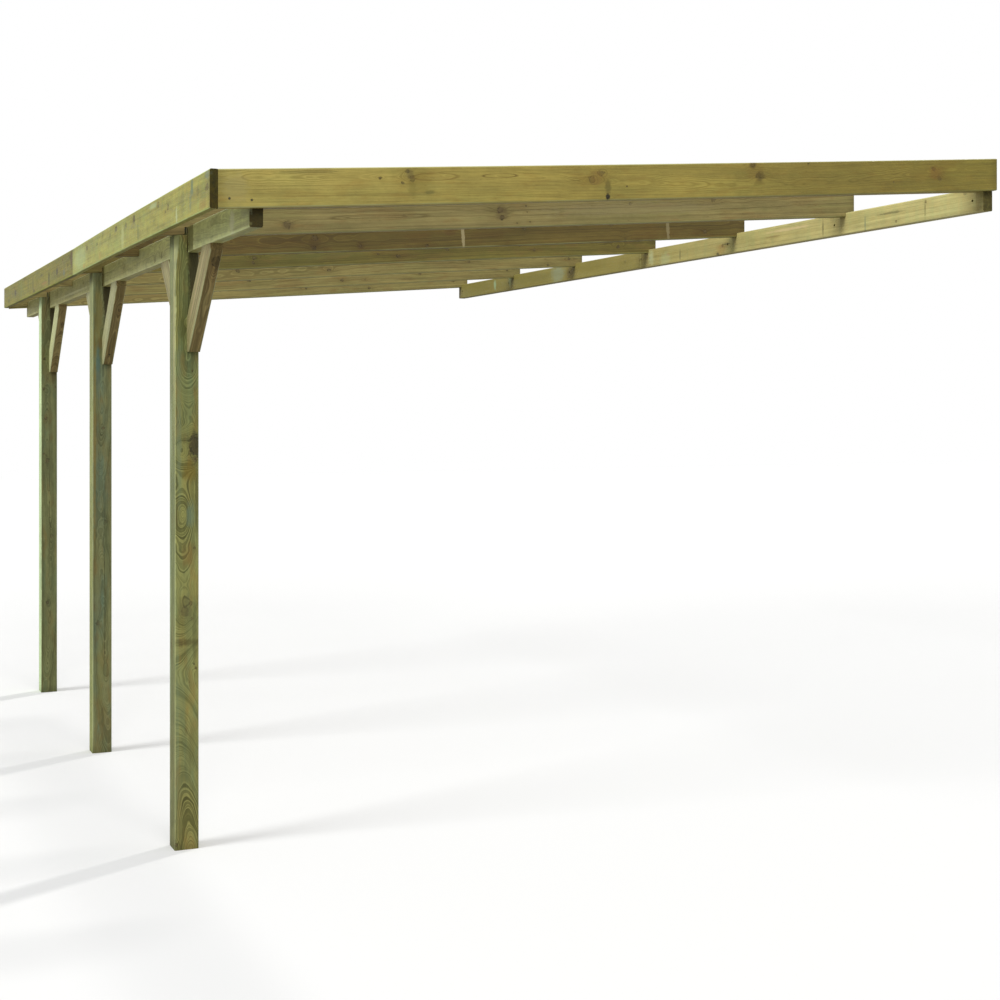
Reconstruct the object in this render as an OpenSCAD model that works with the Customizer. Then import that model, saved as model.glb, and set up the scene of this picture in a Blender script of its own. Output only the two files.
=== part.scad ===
// Wall-mounted pergola: an open lean-to frame of planed, eased softwood.
// Three posts carry a beam on half-lapped shoulders, six knee braces stiffen it, and seven
// rafters are notched over the beam and let into a wall plate. Boards close the roof's edge: one
// on each side, and two that meet on the middle rafter along the gutter.
// Frame: the origin is the middle of the wall plate's back face, on the wall. +X runs along
// the wall to the first rafter, +Y points into the wall and +Z is up. Sizes are millimetres.

/* [Layout] */
// Step from one rafter to the next, face to face
rafter_step = 900; // [600:10:1100]
// Depth of the roof, from the wall to the outside of the gutter board
roof_depth = 3150; // [2000:10:3600]
// Fall of the roof, in degrees
roof_fall = 4.25; // [1:0.25:8]
// Clear height under the beam, from the ground
head_room = 2220; // [1900:10:2600]
// How far the outside of the gutter board stands out from the posts
overhang = 90; // [60:5:400]
// How far each end post stands proud of the rafter beside it, towards its end
post_lead = 5; // [0:5:200]

/* [Timbers] */
// Side of the square posts
post_w = 90; // [80:5:140]
// Thickness of the beam, which is also the thickness of the knee braces
beam_t = 45; // [30:1:60]
// Height of the beam
beam_h = 95; // [80:5:200]
// Thickness of the wall plate
plate_t = 45; // [30:1:80]
// Height of the wall plate
plate_h = 95; // [70:5:200]
// Thickness of the rafters
rafter_t = 45; // [30:1:80]
// Height of the rafters
rafter_h = 120; // [95:5:200]
// How much shallower the rafters are outside the beam
tail_up = 9; // [0:1:20]
// Width of the knee braces
brace_w = 110; // [70:5:140]
// Thickness of the gutter board and the side boards
board_t = 27; // [18:1:40]
// Height of the gutter board and the side boards
board_h = 125; // [95:5:220]
// Radius that eases the long edges of every timber
arris_r = 5; // [1:0.5:6]

/* [Joints] */
// Depth of the rafter notch, at the outside of the beam
beam_seat = 36; // [15:1:50]
// Depth of the rafter seats in the wall plate, at its inside
plate_seat = 18; // [5:1:40]
// Play beside a timber in its notch
notch_play = 0.5; // [0.2:0.1:2]
// Gap between the two gutter boards, where they meet on the middle rafter
butt_gap = 1; // [0.5:0.5:4]
// Length of a knee brace along the post, and along the beam
brace_leg = 370; // [250:5:600]
// Width of the squared toe at each end of a knee brace
brace_toe = 25; // [0:1:60]

/* [Wall bolts] */
// Diameter of the bolt holes in the wall plate
bolt_d = 11; // [6:0.5:16]
// Distance of the first and last bolts from the ends of the wall plate
bolt_end = 64; // [60:1:200]
// Distance of the other bolts past the face of a rafter
bolt_past = 85; // [70:1:300]

/* [Hidden] */
$fn = 48;
RAFTERS = 7;
POSTS = 3;

POST_GREEN = [0.52, 0.56, 0.33];
FRAME_GREEN = [0.47, 0.48, 0.29];
RAFTER_OLIVE = [0.46, 0.40, 0.20];
PLATE_YELLOW = [0.66, 0.62, 0.34];
BOARD_OLIVE = [0.62, 0.55, 0.24];

// Lengths along the wall
frame_len = (RAFTERS - 1) * rafter_step + rafter_t;
half_len = frame_len / 2;
// Where the pieces stand, out from the wall
tail_y = -(roof_depth - board_t);
post_out_y = -(roof_depth - overhang);
beam_in_y = post_out_y + post_w;
beam_out_y = beam_in_y - beam_t;
// Heights above the ground
beam_top = head_room + beam_h;
under_wall = beam_top - beam_seat - beam_out_y * tan(roof_fall);
plate_top = under(-plate_t) + plate_seat;
plate_low = plate_top - plate_h;
plate_mid = plate_top - plate_h / 2;
cheek_top = under(post_out_y) + tail_up - notch_play;
// Reach of a cut that has to clear a timber
cut = 60;

// Height of the rafters' underside above the ground, at a place out from the wall
function under(y) = under_wall + y * tan(roof_fall);

// The low-X face of rafter number i, counted from the +X end
function rafter_x(i) = half_len - rafter_t - (i - 1) * rafter_step;

// The low-X face of post number i: the end posts stand at the second rafter from each end,
// and the middle post is flush with the +X face of the middle rafter
function post_x(i) =
    i == 1 ? rafter_x(2) + rafter_t + post_lead - post_w :
    i == POSTS ? rafter_x(RAFTERS - 1) - post_lead :
    rafter_x((RAFTERS + 1) / 2) + rafter_t - post_w;

// Places of the wall bolts along the wall
bolt_xs = concat(
    [half_len - bolt_end],
    [for (i = [2:RAFTERS - 1]) rafter_x(i) + rafter_t - bolt_past],
    [bolt_end - half_len]
);

// Heights above the ground are drawn, then lowered so that the origin is on the wall plate
module from_ground() {
    translate([0, 0, -plate_mid]) children();
}

// Cross-section of a timber: a rectangle with its corners eased
module section(w, h, r = arris_r) {
    translate([r, 0]) square([w - 2 * r, h]);
    translate([0, r]) square([w, h - 2 * r]);
    for (x = [r, w - r], y = [r, h - r]) translate([x, y]) circle(r = r);
}

// A timber along X, from its low corner
module timber_x(at, len, w, h) {
    translate([at[0], at[1], at[2]])
        rotate([90, 0, 90]) linear_extrude(height = len) section(w, h);
}

// The space between the wall and the gutter board, where sloping timbers are cut off plumb
module roof_slab(x0, w) {
    translate([x0 - cut, tail_y, 0]) cube([w + 2 * cut, -tail_y, 2 * under_wall]);
}

// A timber that follows the roof, its underside level with the rafters', cut plumb at both ends
module sloping(x0, w, h) {
    intersection() {
        translate([x0, 0, under_wall]) rotate([roof_fall, 0, 0]) translate([0, cut, 0])
            rotate([90, 0, 0])
                linear_extrude(height = roof_depth / cos(roof_fall) + 2 * cut) section(w, h);
        roof_slab(x0, w);
    }
}

// The room that a rafter takes in the wall plate, with play at its sides
module rafter_seat(i) {
    translate([rafter_x(i) - notch_play, 0, under_wall]) rotate([roof_fall, 0, 0])
        translate([0, -plate_t - cut, 0]) cube([rafter_t + 2 * notch_play, plate_t + 2 * cut, rafter_h]);
}

module wall_plate() {
    color(PLATE_YELLOW) from_ground() difference() {
        timber_x([-half_len, -plate_t, plate_low], frame_len, plate_t, plate_h);
        for (i = [1:RAFTERS]) rafter_seat(i);
        for (x = bolt_xs) translate([x, cut, plate_mid])
            rotate([90, 0, 0]) cylinder(d = bolt_d, h = plate_t + 2 * cut);
    }
}

module beam() {
    color(FRAME_GREEN) from_ground()
        timber_x([-half_len, beam_out_y, head_room], frame_len, beam_t, beam_h);
}

// The gutter board's length on the +X side (side = 1) or the other side (side = -1)
module gutter_board(side) {
    len = half_len + board_t - butt_gap / 2;
    color(BOARD_OLIVE) from_ground()
        timber_x([side > 0 ? butt_gap / 2 : -butt_gap / 2 - len, -roof_depth, under(tail_y)], len,
            board_t, board_h);
}

module side_board(x0) {
    color(BOARD_OLIVE) from_ground() sloping(x0, board_t, board_h);
}

// A square post, half-lapped at its head: the beam sits on the shoulder, behind a cheek
module post(i) {
    color(POST_GREEN) from_ground() difference() {
        translate([post_x(i), post_out_y, 0])
            linear_extrude(height = cheek_top) section(post_w, post_w);
        translate([post_x(i) - cut, beam_out_y, head_room])
            cube([post_w + 2 * cut, beam_t + cut, beam_h]);
    }
}

// A rafter, notched over the beam, its tail cut shallower outside the beam
module rafter(i) {
    color(RAFTER_OLIVE) from_ground() difference() {
        sloping(rafter_x(i), rafter_t, rafter_h);
        translate([rafter_x(i) - cut, beam_out_y - notch_play, head_room])
            cube([rafter_t + 2 * cut, beam_t + 2 * notch_play, beam_h]);
        translate([rafter_x(i) - cut, beam_out_y + beam_t / 2, under(beam_out_y + beam_t / 2)])
            rotate([roof_fall, 0, 0]) translate([0, -roof_depth, -cut])
                cube([rafter_t + 2 * cut, roof_depth, cut + tail_up]);
    }
}

// A knee brace at 45 degrees, its corner at the origin: out along +X under the beam and down
// along the post. Both ends are cut flat to their seats and their toes are squared off.
module brace_shape() {
    low = (brace_leg + brace_toe) / sqrt(2);
    intersection() {
        rotate([0, -45, 0]) translate([-brace_leg, 0, -low])
            rotate([90, 0, 90]) linear_extrude(height = 2 * brace_leg) section(beam_t, brace_w);
        translate([0, -cut, -brace_leg]) cube([brace_leg, beam_t + 2 * cut, brace_leg]);
    }
}

// The brace of post number i on its +X side (side = 1) or its other side (side = -1)
module brace(i, side) {
    x = side > 0 ? post_x(i) + post_w : post_x(i);
    color(FRAME_GREEN) from_ground() translate([x, beam_out_y, head_room])
        mirror([side > 0 ? 0 : 1, 0, 0]) brace_shape();
}

wall_plate();
beam();
gutter_board(1);  // gutter_board_1
gutter_board(-1);  // gutter_board_2
side_board(half_len);  // side_board_1
side_board(-half_len - board_t);  // side_board_2
for (i = [1:POSTS]) {
    post(i);
    brace(i, 1);
    brace(i, -1);
}
for (i = [1:RAFTERS]) {
    rafter(i);
}
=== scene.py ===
"""Wall-mounted pergola: its timbers, finishes, fixings and studio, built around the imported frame.

Every timber is worked up from its CAD form the way a yard and the weather leave it: it bows a
little along its length, it has opened drying splits, and its screws sit in countersunk pockets.
The wood itself is solid: growth rings run round a pith that lies at its own place in each timber,
so that faces, arrises and sawn ends all show one and the same piece of a tree.
Sizes are metres, except in the rows of knots, marks and hearts, which give millimetres.
A timber's own directions are its grain and two cross directions.
"""

import sys
import logging
import math
import random
from dataclasses import dataclass, field, replace
from enum import Enum
from functools import reduce
from typing import Any, ClassVar, Iterable

import bmesh
import bpy
from mathutils import Matrix, Vector, noise


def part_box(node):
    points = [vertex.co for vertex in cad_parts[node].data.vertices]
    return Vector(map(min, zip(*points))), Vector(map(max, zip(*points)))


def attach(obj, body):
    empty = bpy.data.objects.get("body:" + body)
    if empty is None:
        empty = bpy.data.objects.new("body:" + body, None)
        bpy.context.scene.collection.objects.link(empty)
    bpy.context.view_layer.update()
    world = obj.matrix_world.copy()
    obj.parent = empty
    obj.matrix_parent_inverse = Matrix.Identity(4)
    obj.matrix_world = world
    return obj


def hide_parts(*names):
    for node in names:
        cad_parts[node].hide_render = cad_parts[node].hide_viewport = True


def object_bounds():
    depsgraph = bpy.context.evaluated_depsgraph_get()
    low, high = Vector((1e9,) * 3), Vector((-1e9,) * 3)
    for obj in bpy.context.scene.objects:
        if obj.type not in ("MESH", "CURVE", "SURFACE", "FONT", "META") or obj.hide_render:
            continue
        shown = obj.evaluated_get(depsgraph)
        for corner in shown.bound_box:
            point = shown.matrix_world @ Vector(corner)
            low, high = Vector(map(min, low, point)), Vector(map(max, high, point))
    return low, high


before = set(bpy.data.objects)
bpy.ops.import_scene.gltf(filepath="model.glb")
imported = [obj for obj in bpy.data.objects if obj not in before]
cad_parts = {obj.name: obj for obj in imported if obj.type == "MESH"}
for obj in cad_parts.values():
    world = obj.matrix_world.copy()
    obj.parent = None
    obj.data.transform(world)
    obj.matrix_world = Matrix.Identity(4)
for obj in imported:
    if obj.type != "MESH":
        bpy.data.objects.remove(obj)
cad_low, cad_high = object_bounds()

LOG = logging.getLogger("pergola")
BODY = "root"
RGBA = tuple[float, float, float, float]
Tint = tuple[float, float, float]
PLAIN: Tint = (1.0, 1.0, 1.0)


def paint(code: str) -> RGBA:
    """Turns a colour as seen on a screen into linear light.

    Args:
        code: six hex digits, two each for red, green and blue.

    Returns:
        Red, green, blue and alpha, in linear light.
    """
    def linear(channel: float) -> float:
        """One channel, from screen value to linear light."""
        return channel / 12.92 if channel <= 0.04045 else ((channel + 0.055) / 1.055) ** 2.4

    red, green, blue = (linear(int(code[i:i + 2], 16) / 255) for i in (0, 2, 4))
    return red, green, blue, 1.0


class Graph:
    """Short ways to add nodes to one tree and to link them."""

    def __init__(self, tree: bpy.types.NodeTree) -> None:
        """Keeps the tree that nodes are added to."""
        self.tree = tree

    def feed(self, socket: bpy.types.NodeSocket, value: Any) -> None:
        """Links a socket to another, or sets its value.

        Args:
            socket: the socket that is fed.
            value: another socket, or a plain value.
        """
        if isinstance(value, bpy.types.NodeSocket):
            self.tree.links.new(value, socket)
        else:
            socket.default_value = value

    def add(
        self, kind: str, inputs: dict[int | str, Any] | None = None, **settings: Any
    ) -> bpy.types.Node:
        """Adds a node.

        Args:
            kind: the node's type.
            inputs: values or sockets for its inputs, by name or number.
            **settings: the node's own properties.

        Returns:
            The new node.
        """
        node = self.tree.nodes.new(kind)
        for name, value in settings.items():
            setattr(node, name, value)
        for key, value in (inputs or {}).items():
            self.feed(node.inputs[key], value)
        return node

    def math(self, operation: str, *values: Any) -> bpy.types.NodeSocket:
        """One sum on numbers."""
        return self.add("ShaderNodeMath", dict(enumerate(values)), operation=operation).outputs[0]

    def times(self, *values: Any) -> bpy.types.NodeSocket:
        """The product of numbers."""
        return reduce(lambda first, second: self.math("MULTIPLY", first, second), values)

    def plus(self, *values: Any) -> bpy.types.NodeSocket:
        """The sum of numbers."""
        return reduce(lambda first, second: self.math("ADD", first, second), values)

    def minus(self, first: Any, second: Any) -> bpy.types.NodeSocket:
        """The first number less the second."""
        return self.math("SUBTRACT", first, second)

    def over(self, first: Any, second: Any) -> bpy.types.NodeSocket:
        """The first number divided by the second."""
        return self.math("DIVIDE", first, second)

    def hypotenuse(self, first: Any, second: Any) -> bpy.types.NodeSocket:
        """The length of a line that goes so far one way and so far across it."""
        return self.math("SQRT", self.plus(self.times(first, first), self.times(second, second)))

    def vector(self, operation: str, *values: Any) -> bpy.types.NodeSocket:
        """One sum on vectors; a dot product or a length comes back as a number."""
        node = self.add("ShaderNodeVectorMath", dict(enumerate(values)), operation=operation)
        return node.outputs[1 if operation in ("DOT_PRODUCT", "LENGTH") else 0]

    def scaled(self, vector: Any, factor: Any) -> bpy.types.NodeSocket:
        """A vector times a number."""
        return self.add("ShaderNodeVectorMath", {0: vector, 3: factor}, operation="SCALE").outputs[0]

    def apart(self, vector: Any) -> tuple[bpy.types.NodeSocket, ...]:
        """A vector's three numbers."""
        return tuple(self.add("ShaderNodeSeparateXYZ", {0: vector}).outputs)

    def joined(self, *numbers: Any) -> bpy.types.NodeSocket:
        """Three numbers as a vector."""
        return self.add("ShaderNodeCombineXYZ", dict(enumerate(numbers))).outputs[0]

    def ease(
        self, value: Any, low: float, high: float, start: Any = 0.0, end: Any = 1.0
    ) -> bpy.types.NodeSocket:
        """Goes smoothly from start to end while a value goes from low to high."""
        inputs = {0: value, 1: low, 2: high, 3: start, 4: end}
        return self.add("ShaderNodeMapRange", inputs, interpolation_type="SMOOTHSTEP").outputs[0]

    def noise(
        self, vector: Any, scale: float = 1.0, detail: float = 2.0, rough: float = 0.5
    ) -> bpy.types.NodeSocket:
        """Smooth noise around one half."""
        inputs = {"Vector": vector, "Scale": scale, "Detail": detail, "Roughness": rough}
        return self.add("ShaderNodeTexNoise", inputs).outputs[0]

    def mix(self, share: Any, first: Any, second: Any, blend: str = "MIX") -> bpy.types.NodeSocket:
        """Mixes two colours, or applies the second to the first by a share."""
        inputs = {0: share, 6: first, 7: second}
        return self.add("ShaderNodeMix", inputs, data_type="RGBA", blend_type=blend).outputs[2]

    def surface(self, inputs: dict[str, Any]) -> None:
        """Ends a material with a surface of the given inputs."""
        shader = self.add("ShaderNodeBsdfPrincipled", inputs)
        self.add("ShaderNodeOutputMaterial", {"Surface": shader.outputs[0]})


def new_group(
    name: str, inputs: dict[str, tuple[str, ...]], outputs: dict[str, tuple[str, ...]]
) -> tuple[Any, Graph, Any, Any]:
    """Starts a shader node group.

    Args:
        name: the group's name.
        inputs: the names of the inputs, by their kind.
        outputs: the names of the outputs, by their kind.

    Returns:
        The group, its graph, its inputs' values by name and its results' sockets by name.
    """
    group = bpy.data.node_groups.new(name, "ShaderNodeTree")
    for way, sockets in (("INPUT", inputs), ("OUTPUT", outputs)):
        for kind, socket_names in sockets.items():
            for socket_name in socket_names:
                group.interface.new_socket(socket_name, in_out=way, socket_type=f"NodeSocket{kind}")
    graph = Graph(group)
    return group, graph, graph.add("NodeGroupInput").outputs, graph.add("NodeGroupOutput").inputs


def new_material(name: str) -> bpy.types.Material:
    """Starts a material with an empty node tree.

    Args:
        name: the material's name.

    Returns:
        The material.
    """
    material = bpy.data.materials.new(name)
    material.use_nodes = True
    material.node_tree.nodes.clear()
    return material


class Face(Enum):
    """The faces of a timber, by the way that they look."""

    NEAR = (1, 0, 0)
    FAR = (-1, 0, 0)
    OUTER = (0, -1, 0)
    INNER = (0, 1, 0)
    UPPER = (0, 0, 1)
    UNDER = (0, 0, -1)


@dataclass(frozen=True)
class Axes:
    """A timber's own directions: its grain and two cross directions, from its middle."""

    middle: Vector
    along: Vector
    side: Vector
    rise: Vector
    half: Vector

    SHARP: ClassVar[float] = 0.01
    LEVEL: ClassVar[float] = 1e-6

    @classmethod
    def of(cls, mesh: bmesh.types.BMesh) -> "Axes":
        """Finds a timber's directions from its longest straight edge.

        Args:
            mesh: the timber, with its doubles merged.

        Returns:
            Its directions, middle and half sizes.
        """
        arrises = [edge for edge in mesh.edges if edge.calc_face_angle(0.0) > cls.SHARP]
        longest = max(arrises, key=lambda edge: edge.calc_length())
        along = (longest.verts[1].co - longest.verts[0].co).normalized()
        if along.z < -cls.LEVEL or (abs(along.z) < cls.LEVEL and along.x + along.y < 0):
            along = -along
        cross = (Vector((1, 0, 0)), Vector((0, 1, 0)), Vector((0, 0, 1)))
        side = min(cross, key=lambda axis: (round(abs(axis.dot(along)), 3), cross.index(axis)))
        rise = along.cross(side)
        spans = []
        for axis in (along, side, rise):
            places = [vertex.co.dot(axis) for vertex in mesh.verts]
            spans.append((min(places), max(places)))
        centres = [axis * (low + high) / 2 for axis, (low, high) in zip((along, side, rise), spans)]
        half = Vector([(high - low) / 2 for low, high in spans])
        return cls(sum(centres, Vector()), along, side, rise, half)

    @property
    def turn(self) -> Matrix:
        """The turn from the frame's directions to the timber's own."""
        return Matrix((self.along, self.side, self.rise))

    def own(self, point: Vector) -> Vector:
        """A point of the frame, in the timber's own directions."""
        return self.turn @ (point - self.middle)

    def shared(self, point: Iterable[float]) -> Vector:
        """A point in the timber's own directions, back in the frame."""
        return self.middle + self.turn.transposed() @ Vector(point)

    def face(self, face: Face) -> tuple[int, int, int, int]:
        """Which cross directions a face has.

        Args:
            face: the face.

        Returns:
            The number of the direction that the face looks along and its sign, then the number
            of the direction across the face and the sign that makes it point up, in or near.
        """
        looks = [axis.dot(Vector(face.value)) for axis in (self.side, self.rise)]
        out = 1 if abs(looks[0]) >= abs(looks[1]) else 2
        across = 3 - out
        direction = (self.side, self.rise)[across - 1]
        return out, 1 if looks[out - 1] > 0 else -1, across, 1 if sum(direction) > 0 else -1

    def on_face(self, face: Face, at: float, across: float, lift: float = 0.0) -> Vector:
        """A point on a face, in the timber's own directions.

        Args:
            face: the face.
            at: how far along from the foot, tail or far end.
            across: how far from the middle of the face, up, in or near.
            lift: how far off the face.

        Returns:
            The point.
        """
        out, way, over, sign = self.face(face)
        point = Vector((at - self.half[0], 0, 0))
        point[out] = way * (self.half[out] + lift)
        point[over] = sign * across
        return point

    def spot(self, feature: Any) -> dict[str, Vector]:
        """Where a knot or a mark is on its face, and the way that the face looks.

        Args:
            feature: the knot or mark.

        Returns:
            Both, in the timber's own directions, by the names of the shader groups' inputs.
        """
        spot = self.on_face(feature.face, feature.at, feature.across)
        return {"Spot": spot, "Aim": self.on_face(feature.face, feature.at, feature.across, 1.0) - spot}


@dataclass(frozen=True)
class Knot:
    """Where a branch comes out of a face; a tone of 0 only bends the grain."""

    face: Face
    at: float
    across: float
    radius: float
    tone: float = 1.0
    halo: float = 0.5
    length: float = 1.15


@dataclass(frozen=True)
class Mark:
    """A stain, streak or bleached patch on a face, by its middle and its half sizes.

    A soft mark fades from its middle out, a hollow one is only a line round its edge, and a
    ragged one has an uneven edge.
    """

    face: Face
    at: float
    across: float
    length: float
    width: float
    colour: str
    strength: float = 0.6
    soft: float = 0.6
    hollow: float = 0.0
    ragged: float = 1.0


@dataclass(frozen=True)
class Pith:
    """The line of the tree's heart, by how far along, across and deep it lies behind a face."""

    face: Face
    stations: tuple[tuple[float, float, float], ...]


@dataclass(frozen=True)
class Split:
    """A drying split that runs with the grain."""

    face: Face
    start: float
    end: float
    across: float
    width: float = 0.002
    depth: float = 0.014
    wander: float = 0.004


@dataclass(frozen=True)
class Screw:
    """A countersunk screw, by the place of its head on a face."""

    face: Face
    at: float
    across: float


@dataclass(frozen=True)
class Housing:
    """A square-cornered cut, by its low and high corners in the frame."""

    low: tuple[float, float, float]
    high: tuple[float, float, float]


@dataclass(frozen=True)
class Wane:
    """An arris that follows the outside of the log, by its width at places along the timber."""

    first: Face
    second: Face
    widths: tuple[tuple[float, float], ...]


@dataclass(frozen=True)
class Wood:
    """How one run of planed, pressure-treated softwood looks.

    The tints are the colour's multipliers at the low end, in the middle and at the high end.
    """

    early: str
    late: str
    green: str
    # weathered colours the faces turned to -Y: partly weathering, partly painted light
    weathered: str
    brown: str = "8a7440"
    sawn: str = "8c8c70"
    # edge and bleached_edge make the arrises paler: partly rubbed wear, partly a painted highlight
    edge: str = "b9c295"
    ring: float = 0.0042
    contrast: float = 0.55
    greening: float = 0.45
    browning: float = 0.35
    weathering: float = 0.0
    streaks: float = 0.35
    bands: float = 0.006
    mottle: float = 0.5
    rain: float = 0.0
    ripple: float = 2.0
    sway: float = 0.003
    bleached_edge: float = 0.5
    tints: tuple[Tint, Tint, Tint] = (PLAIN, PLAIN, PLAIN)


def metres(*sizes: float) -> tuple[float, ...]:
    """Millimetres, in metres."""
    return tuple(size / 1000 for size in sizes)


def knots_on(face: Face, *rows: tuple[float, ...]) -> list[Knot]:
    """Gives a face its knots.

    Args:
        face: the face.
        rows: how far along and across each knot is and its radius, all in millimetres, then its
            tone, halo and length where they aren't the usual ones.

    Returns:
        The knots.
    """
    return [Knot(face, *metres(*row[:3]), *row[3:]) for row in rows]


def marks_on(face: Face, *rows: tuple[Any, ...]) -> list[Mark]:
    """Gives a face its marks.

    Args:
        face: the face.
        rows: how far along and across each mark is and its half sizes, all in millimetres, then
            its colour, and its strength, softness, hollowness and raggedness where they aren't
            the usual ones.

    Returns:
        The marks.
    """
    return [Mark(face, *metres(*row[:4]), *row[4:]) for row in rows]


def heart_behind(face: Face, *stations: tuple[float, float, float]) -> Pith:
    """Lays the tree's heart behind a face, through stations in millimetres."""
    return Pith(face, tuple(metres(*station) for station in stations))


def amounts(thing: Any, names: Iterable[str]) -> dict[str, Any]:
    """A knot's, mark's or wood's own values, by the names of the shader groups' inputs."""
    return {name: getattr(thing, name.lower().replace(" ", "_")) for name in names}


class WoodShop:
    """Makes the materials of the timbers from three shared node groups."""

    SUMS: ClassVar[tuple[str, ...]] = ("Bulge", "Core", "Rim", "Stain")
    KNOT_AMOUNTS: ClassVar[tuple[str, ...]] = ("Radius", "Length", "Tone", "Halo")
    MARK_AMOUNTS: ClassVar[tuple[str, ...]] = ("Length", "Width", "Strength", "Soft", "Hollow", "Ragged")
    WOOD_AMOUNTS: ClassVar[tuple[str, ...]] = (
        "Ring", "Contrast", "Greening", "Browning", "Weathering", "Streaks", "Bands", "Bleached edge",
        "Mottle", "Rain")
    WOOD_COLOURS: ClassVar[tuple[str, ...]] = (
        "Early", "Late", "Green", "Brown", "Weathered", "Edge", "Sawn")
    SEED_STEP: ClassVar[tuple[float, float, float]] = (7.31, 3.17, 5.73)
    MARK_DEPTH: ClassVar[float] = 0.012
    KNOT_DEPTH: ClassVar[float] = 0.085
    LATE_RELIEF: ClassVar[float] = 0.00035
    FIBRE_RELIEF: ClassVar[float] = 0.0004
    RIM_RELIEF: ClassVar[float] = 0.0012

    def __init__(self) -> None:
        """Builds the shared groups."""
        self.knot = self.build_knot()
        self.mark = self.build_mark()
        self.wood = self.build_wood()

    @staticmethod
    def from_spot(g: Graph, value: Any) -> tuple[Any, Any, Any]:
        """Tells a point by how far along, across and off a face it is from a spot there.

        Args:
            g: the group's graph.
            value: the group's inputs, by name.

        Returns:
            How far along, across and off the face.
        """
        away = g.vector("SUBTRACT", value["Place"], value["Spot"])
        over = g.vector("CROSS_PRODUCT", value["Aim"], (1, 0, 0))
        return tuple(g.vector("DOT_PRODUCT", away, way) for way in ((1, 0, 0), over, value["Aim"]))

    def build_knot(self) -> bpy.types.NodeTree:
        """Builds the group that adds one knot.

        A knot is a branch that narrows inwards. Rings bulge out round it, it has a dark core with
        a broken bark rim, and resin stains the wood beside it.

        Returns:
            The group.
        """
        amounts = (*self.KNOT_AMOUNTS, "Wobble", "Breaks", *(f"{name} in" for name in self.SUMS))
        group, g, value, results = new_group(
            "one knot", {"Vector": ("Place", "Spot", "Aim"), "Float": amounts}, {"Float": self.SUMS})
        run, beside, out = self.from_spot(g, value)
        radius = g.times(value["Radius"], g.ease(out, -0.09, 0.0, 0.4, 1.0))
        step, sway = g.over(run, g.times(radius, value["Length"])), g.over(beside, radius)
        step_square, sway_square = g.times(step, step), g.times(sway, sway)
        near = g.math("SQRT", g.plus(step_square, sway_square))
        near = g.times(near, g.plus(0.3, g.times(value["Wobble"], 1.4)))
        ahead = g.ease(out, -self.KNOT_DEPTH, -0.05)
        shown = g.times(ahead, value["Tone"])
        core = g.times(g.ease(near, 1.08, 0.8), shown)
        broken = g.ease(value["Breaks"], 0.44, 0.60)
        rim = g.times(g.ease(near, 0.66, 0.95), g.ease(near, 1.32, 1.02), broken, shown)
        spread = g.plus(g.times(step_square, 0.3), sway_square)
        bulge = g.times(g.math("EXPONENT", g.times(spread, -0.33)), radius, ahead)
        far = g.plus(g.times(step_square, 0.03), g.times(sway_square, 0.2))
        stain = g.times(g.math("EXPONENT", g.times(far, -1.0)), value["Halo"], ahead)
        g.feed(results["Bulge"], g.plus(value["Bulge in"], bulge))
        for name, share in (("Core", core), ("Rim", rim), ("Stain", stain)):
            g.feed(results[name], g.math("MAXIMUM", value[f"{name} in"], share))
        return group

    def build_mark(self) -> bpy.types.NodeTree:
        """Builds the group that lays one mark over a colour, with an uneven, soft edge.

        Returns:
            The group.
        """
        group, g, value, results = new_group(
            "one mark", {"Vector": ("Place", "Spot", "Aim"), "Float": (*self.MARK_AMOUNTS, "Wobble"),
                         "Color": ("Color in", "Paint")}, {"Color": ("Color",)})
        run, beside, out = self.from_spot(g, value)
        near = g.hypotenuse(g.over(run, value["Length"]), g.over(beside, value["Width"]))
        stir = g.times(g.minus(value["Wobble"], 0.5), g.minus(1.2, value["Hollow"]), value["Ragged"])
        near = g.plus(near, stir)
        edge = g.ease(near, 1.15, g.minus(1.05, value["Soft"]))
        hole = g.times(value["Hollow"], g.ease(near, 0.93, 0.78))
        skin = g.ease(out, -self.MARK_DEPTH, -self.MARK_DEPTH / 2)
        share = g.times(edge, skin, g.minus(1.0, hole), value["Strength"])
        g.feed(results["Color"], g.mix(share, value["Color in"], value["Paint"]))
        return group

    def build_wood(self) -> bpy.types.NodeTree:
        """Builds the group that colours the wood once its knots are known.

        Returns:
            The group.
        """
        group, g, value, results = new_group(
            "treated softwood",
            {"Vector": ("Place", "Grain", "Normal", "Run", "Side", "Rise", "Half"),
             "Float": ("Seed", *self.SUMS, *self.WOOD_AMOUNTS), "Color": self.WOOD_COLOURS},
            {"Color": ("Color",), "Float": ("Roughness", "Height")})
        own = g.vector("ADD", value["Place"], g.scaled(self.SEED_STEP, value["Seed"]))

        def flecks(along: float, across: float, *settings: float) -> bpy.types.NodeSocket:
            """Noise with so many steps a metre along and across the timber."""
            return g.noise(g.vector("MULTIPLY", own, (along, across, across)), *settings)

        def centred(source: bpy.types.NodeSocket, size: float) -> bpy.types.NodeSocket:
            """Noise around zero, of a given size."""
            return g.times(g.minus(source, 0.5), size)

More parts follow.
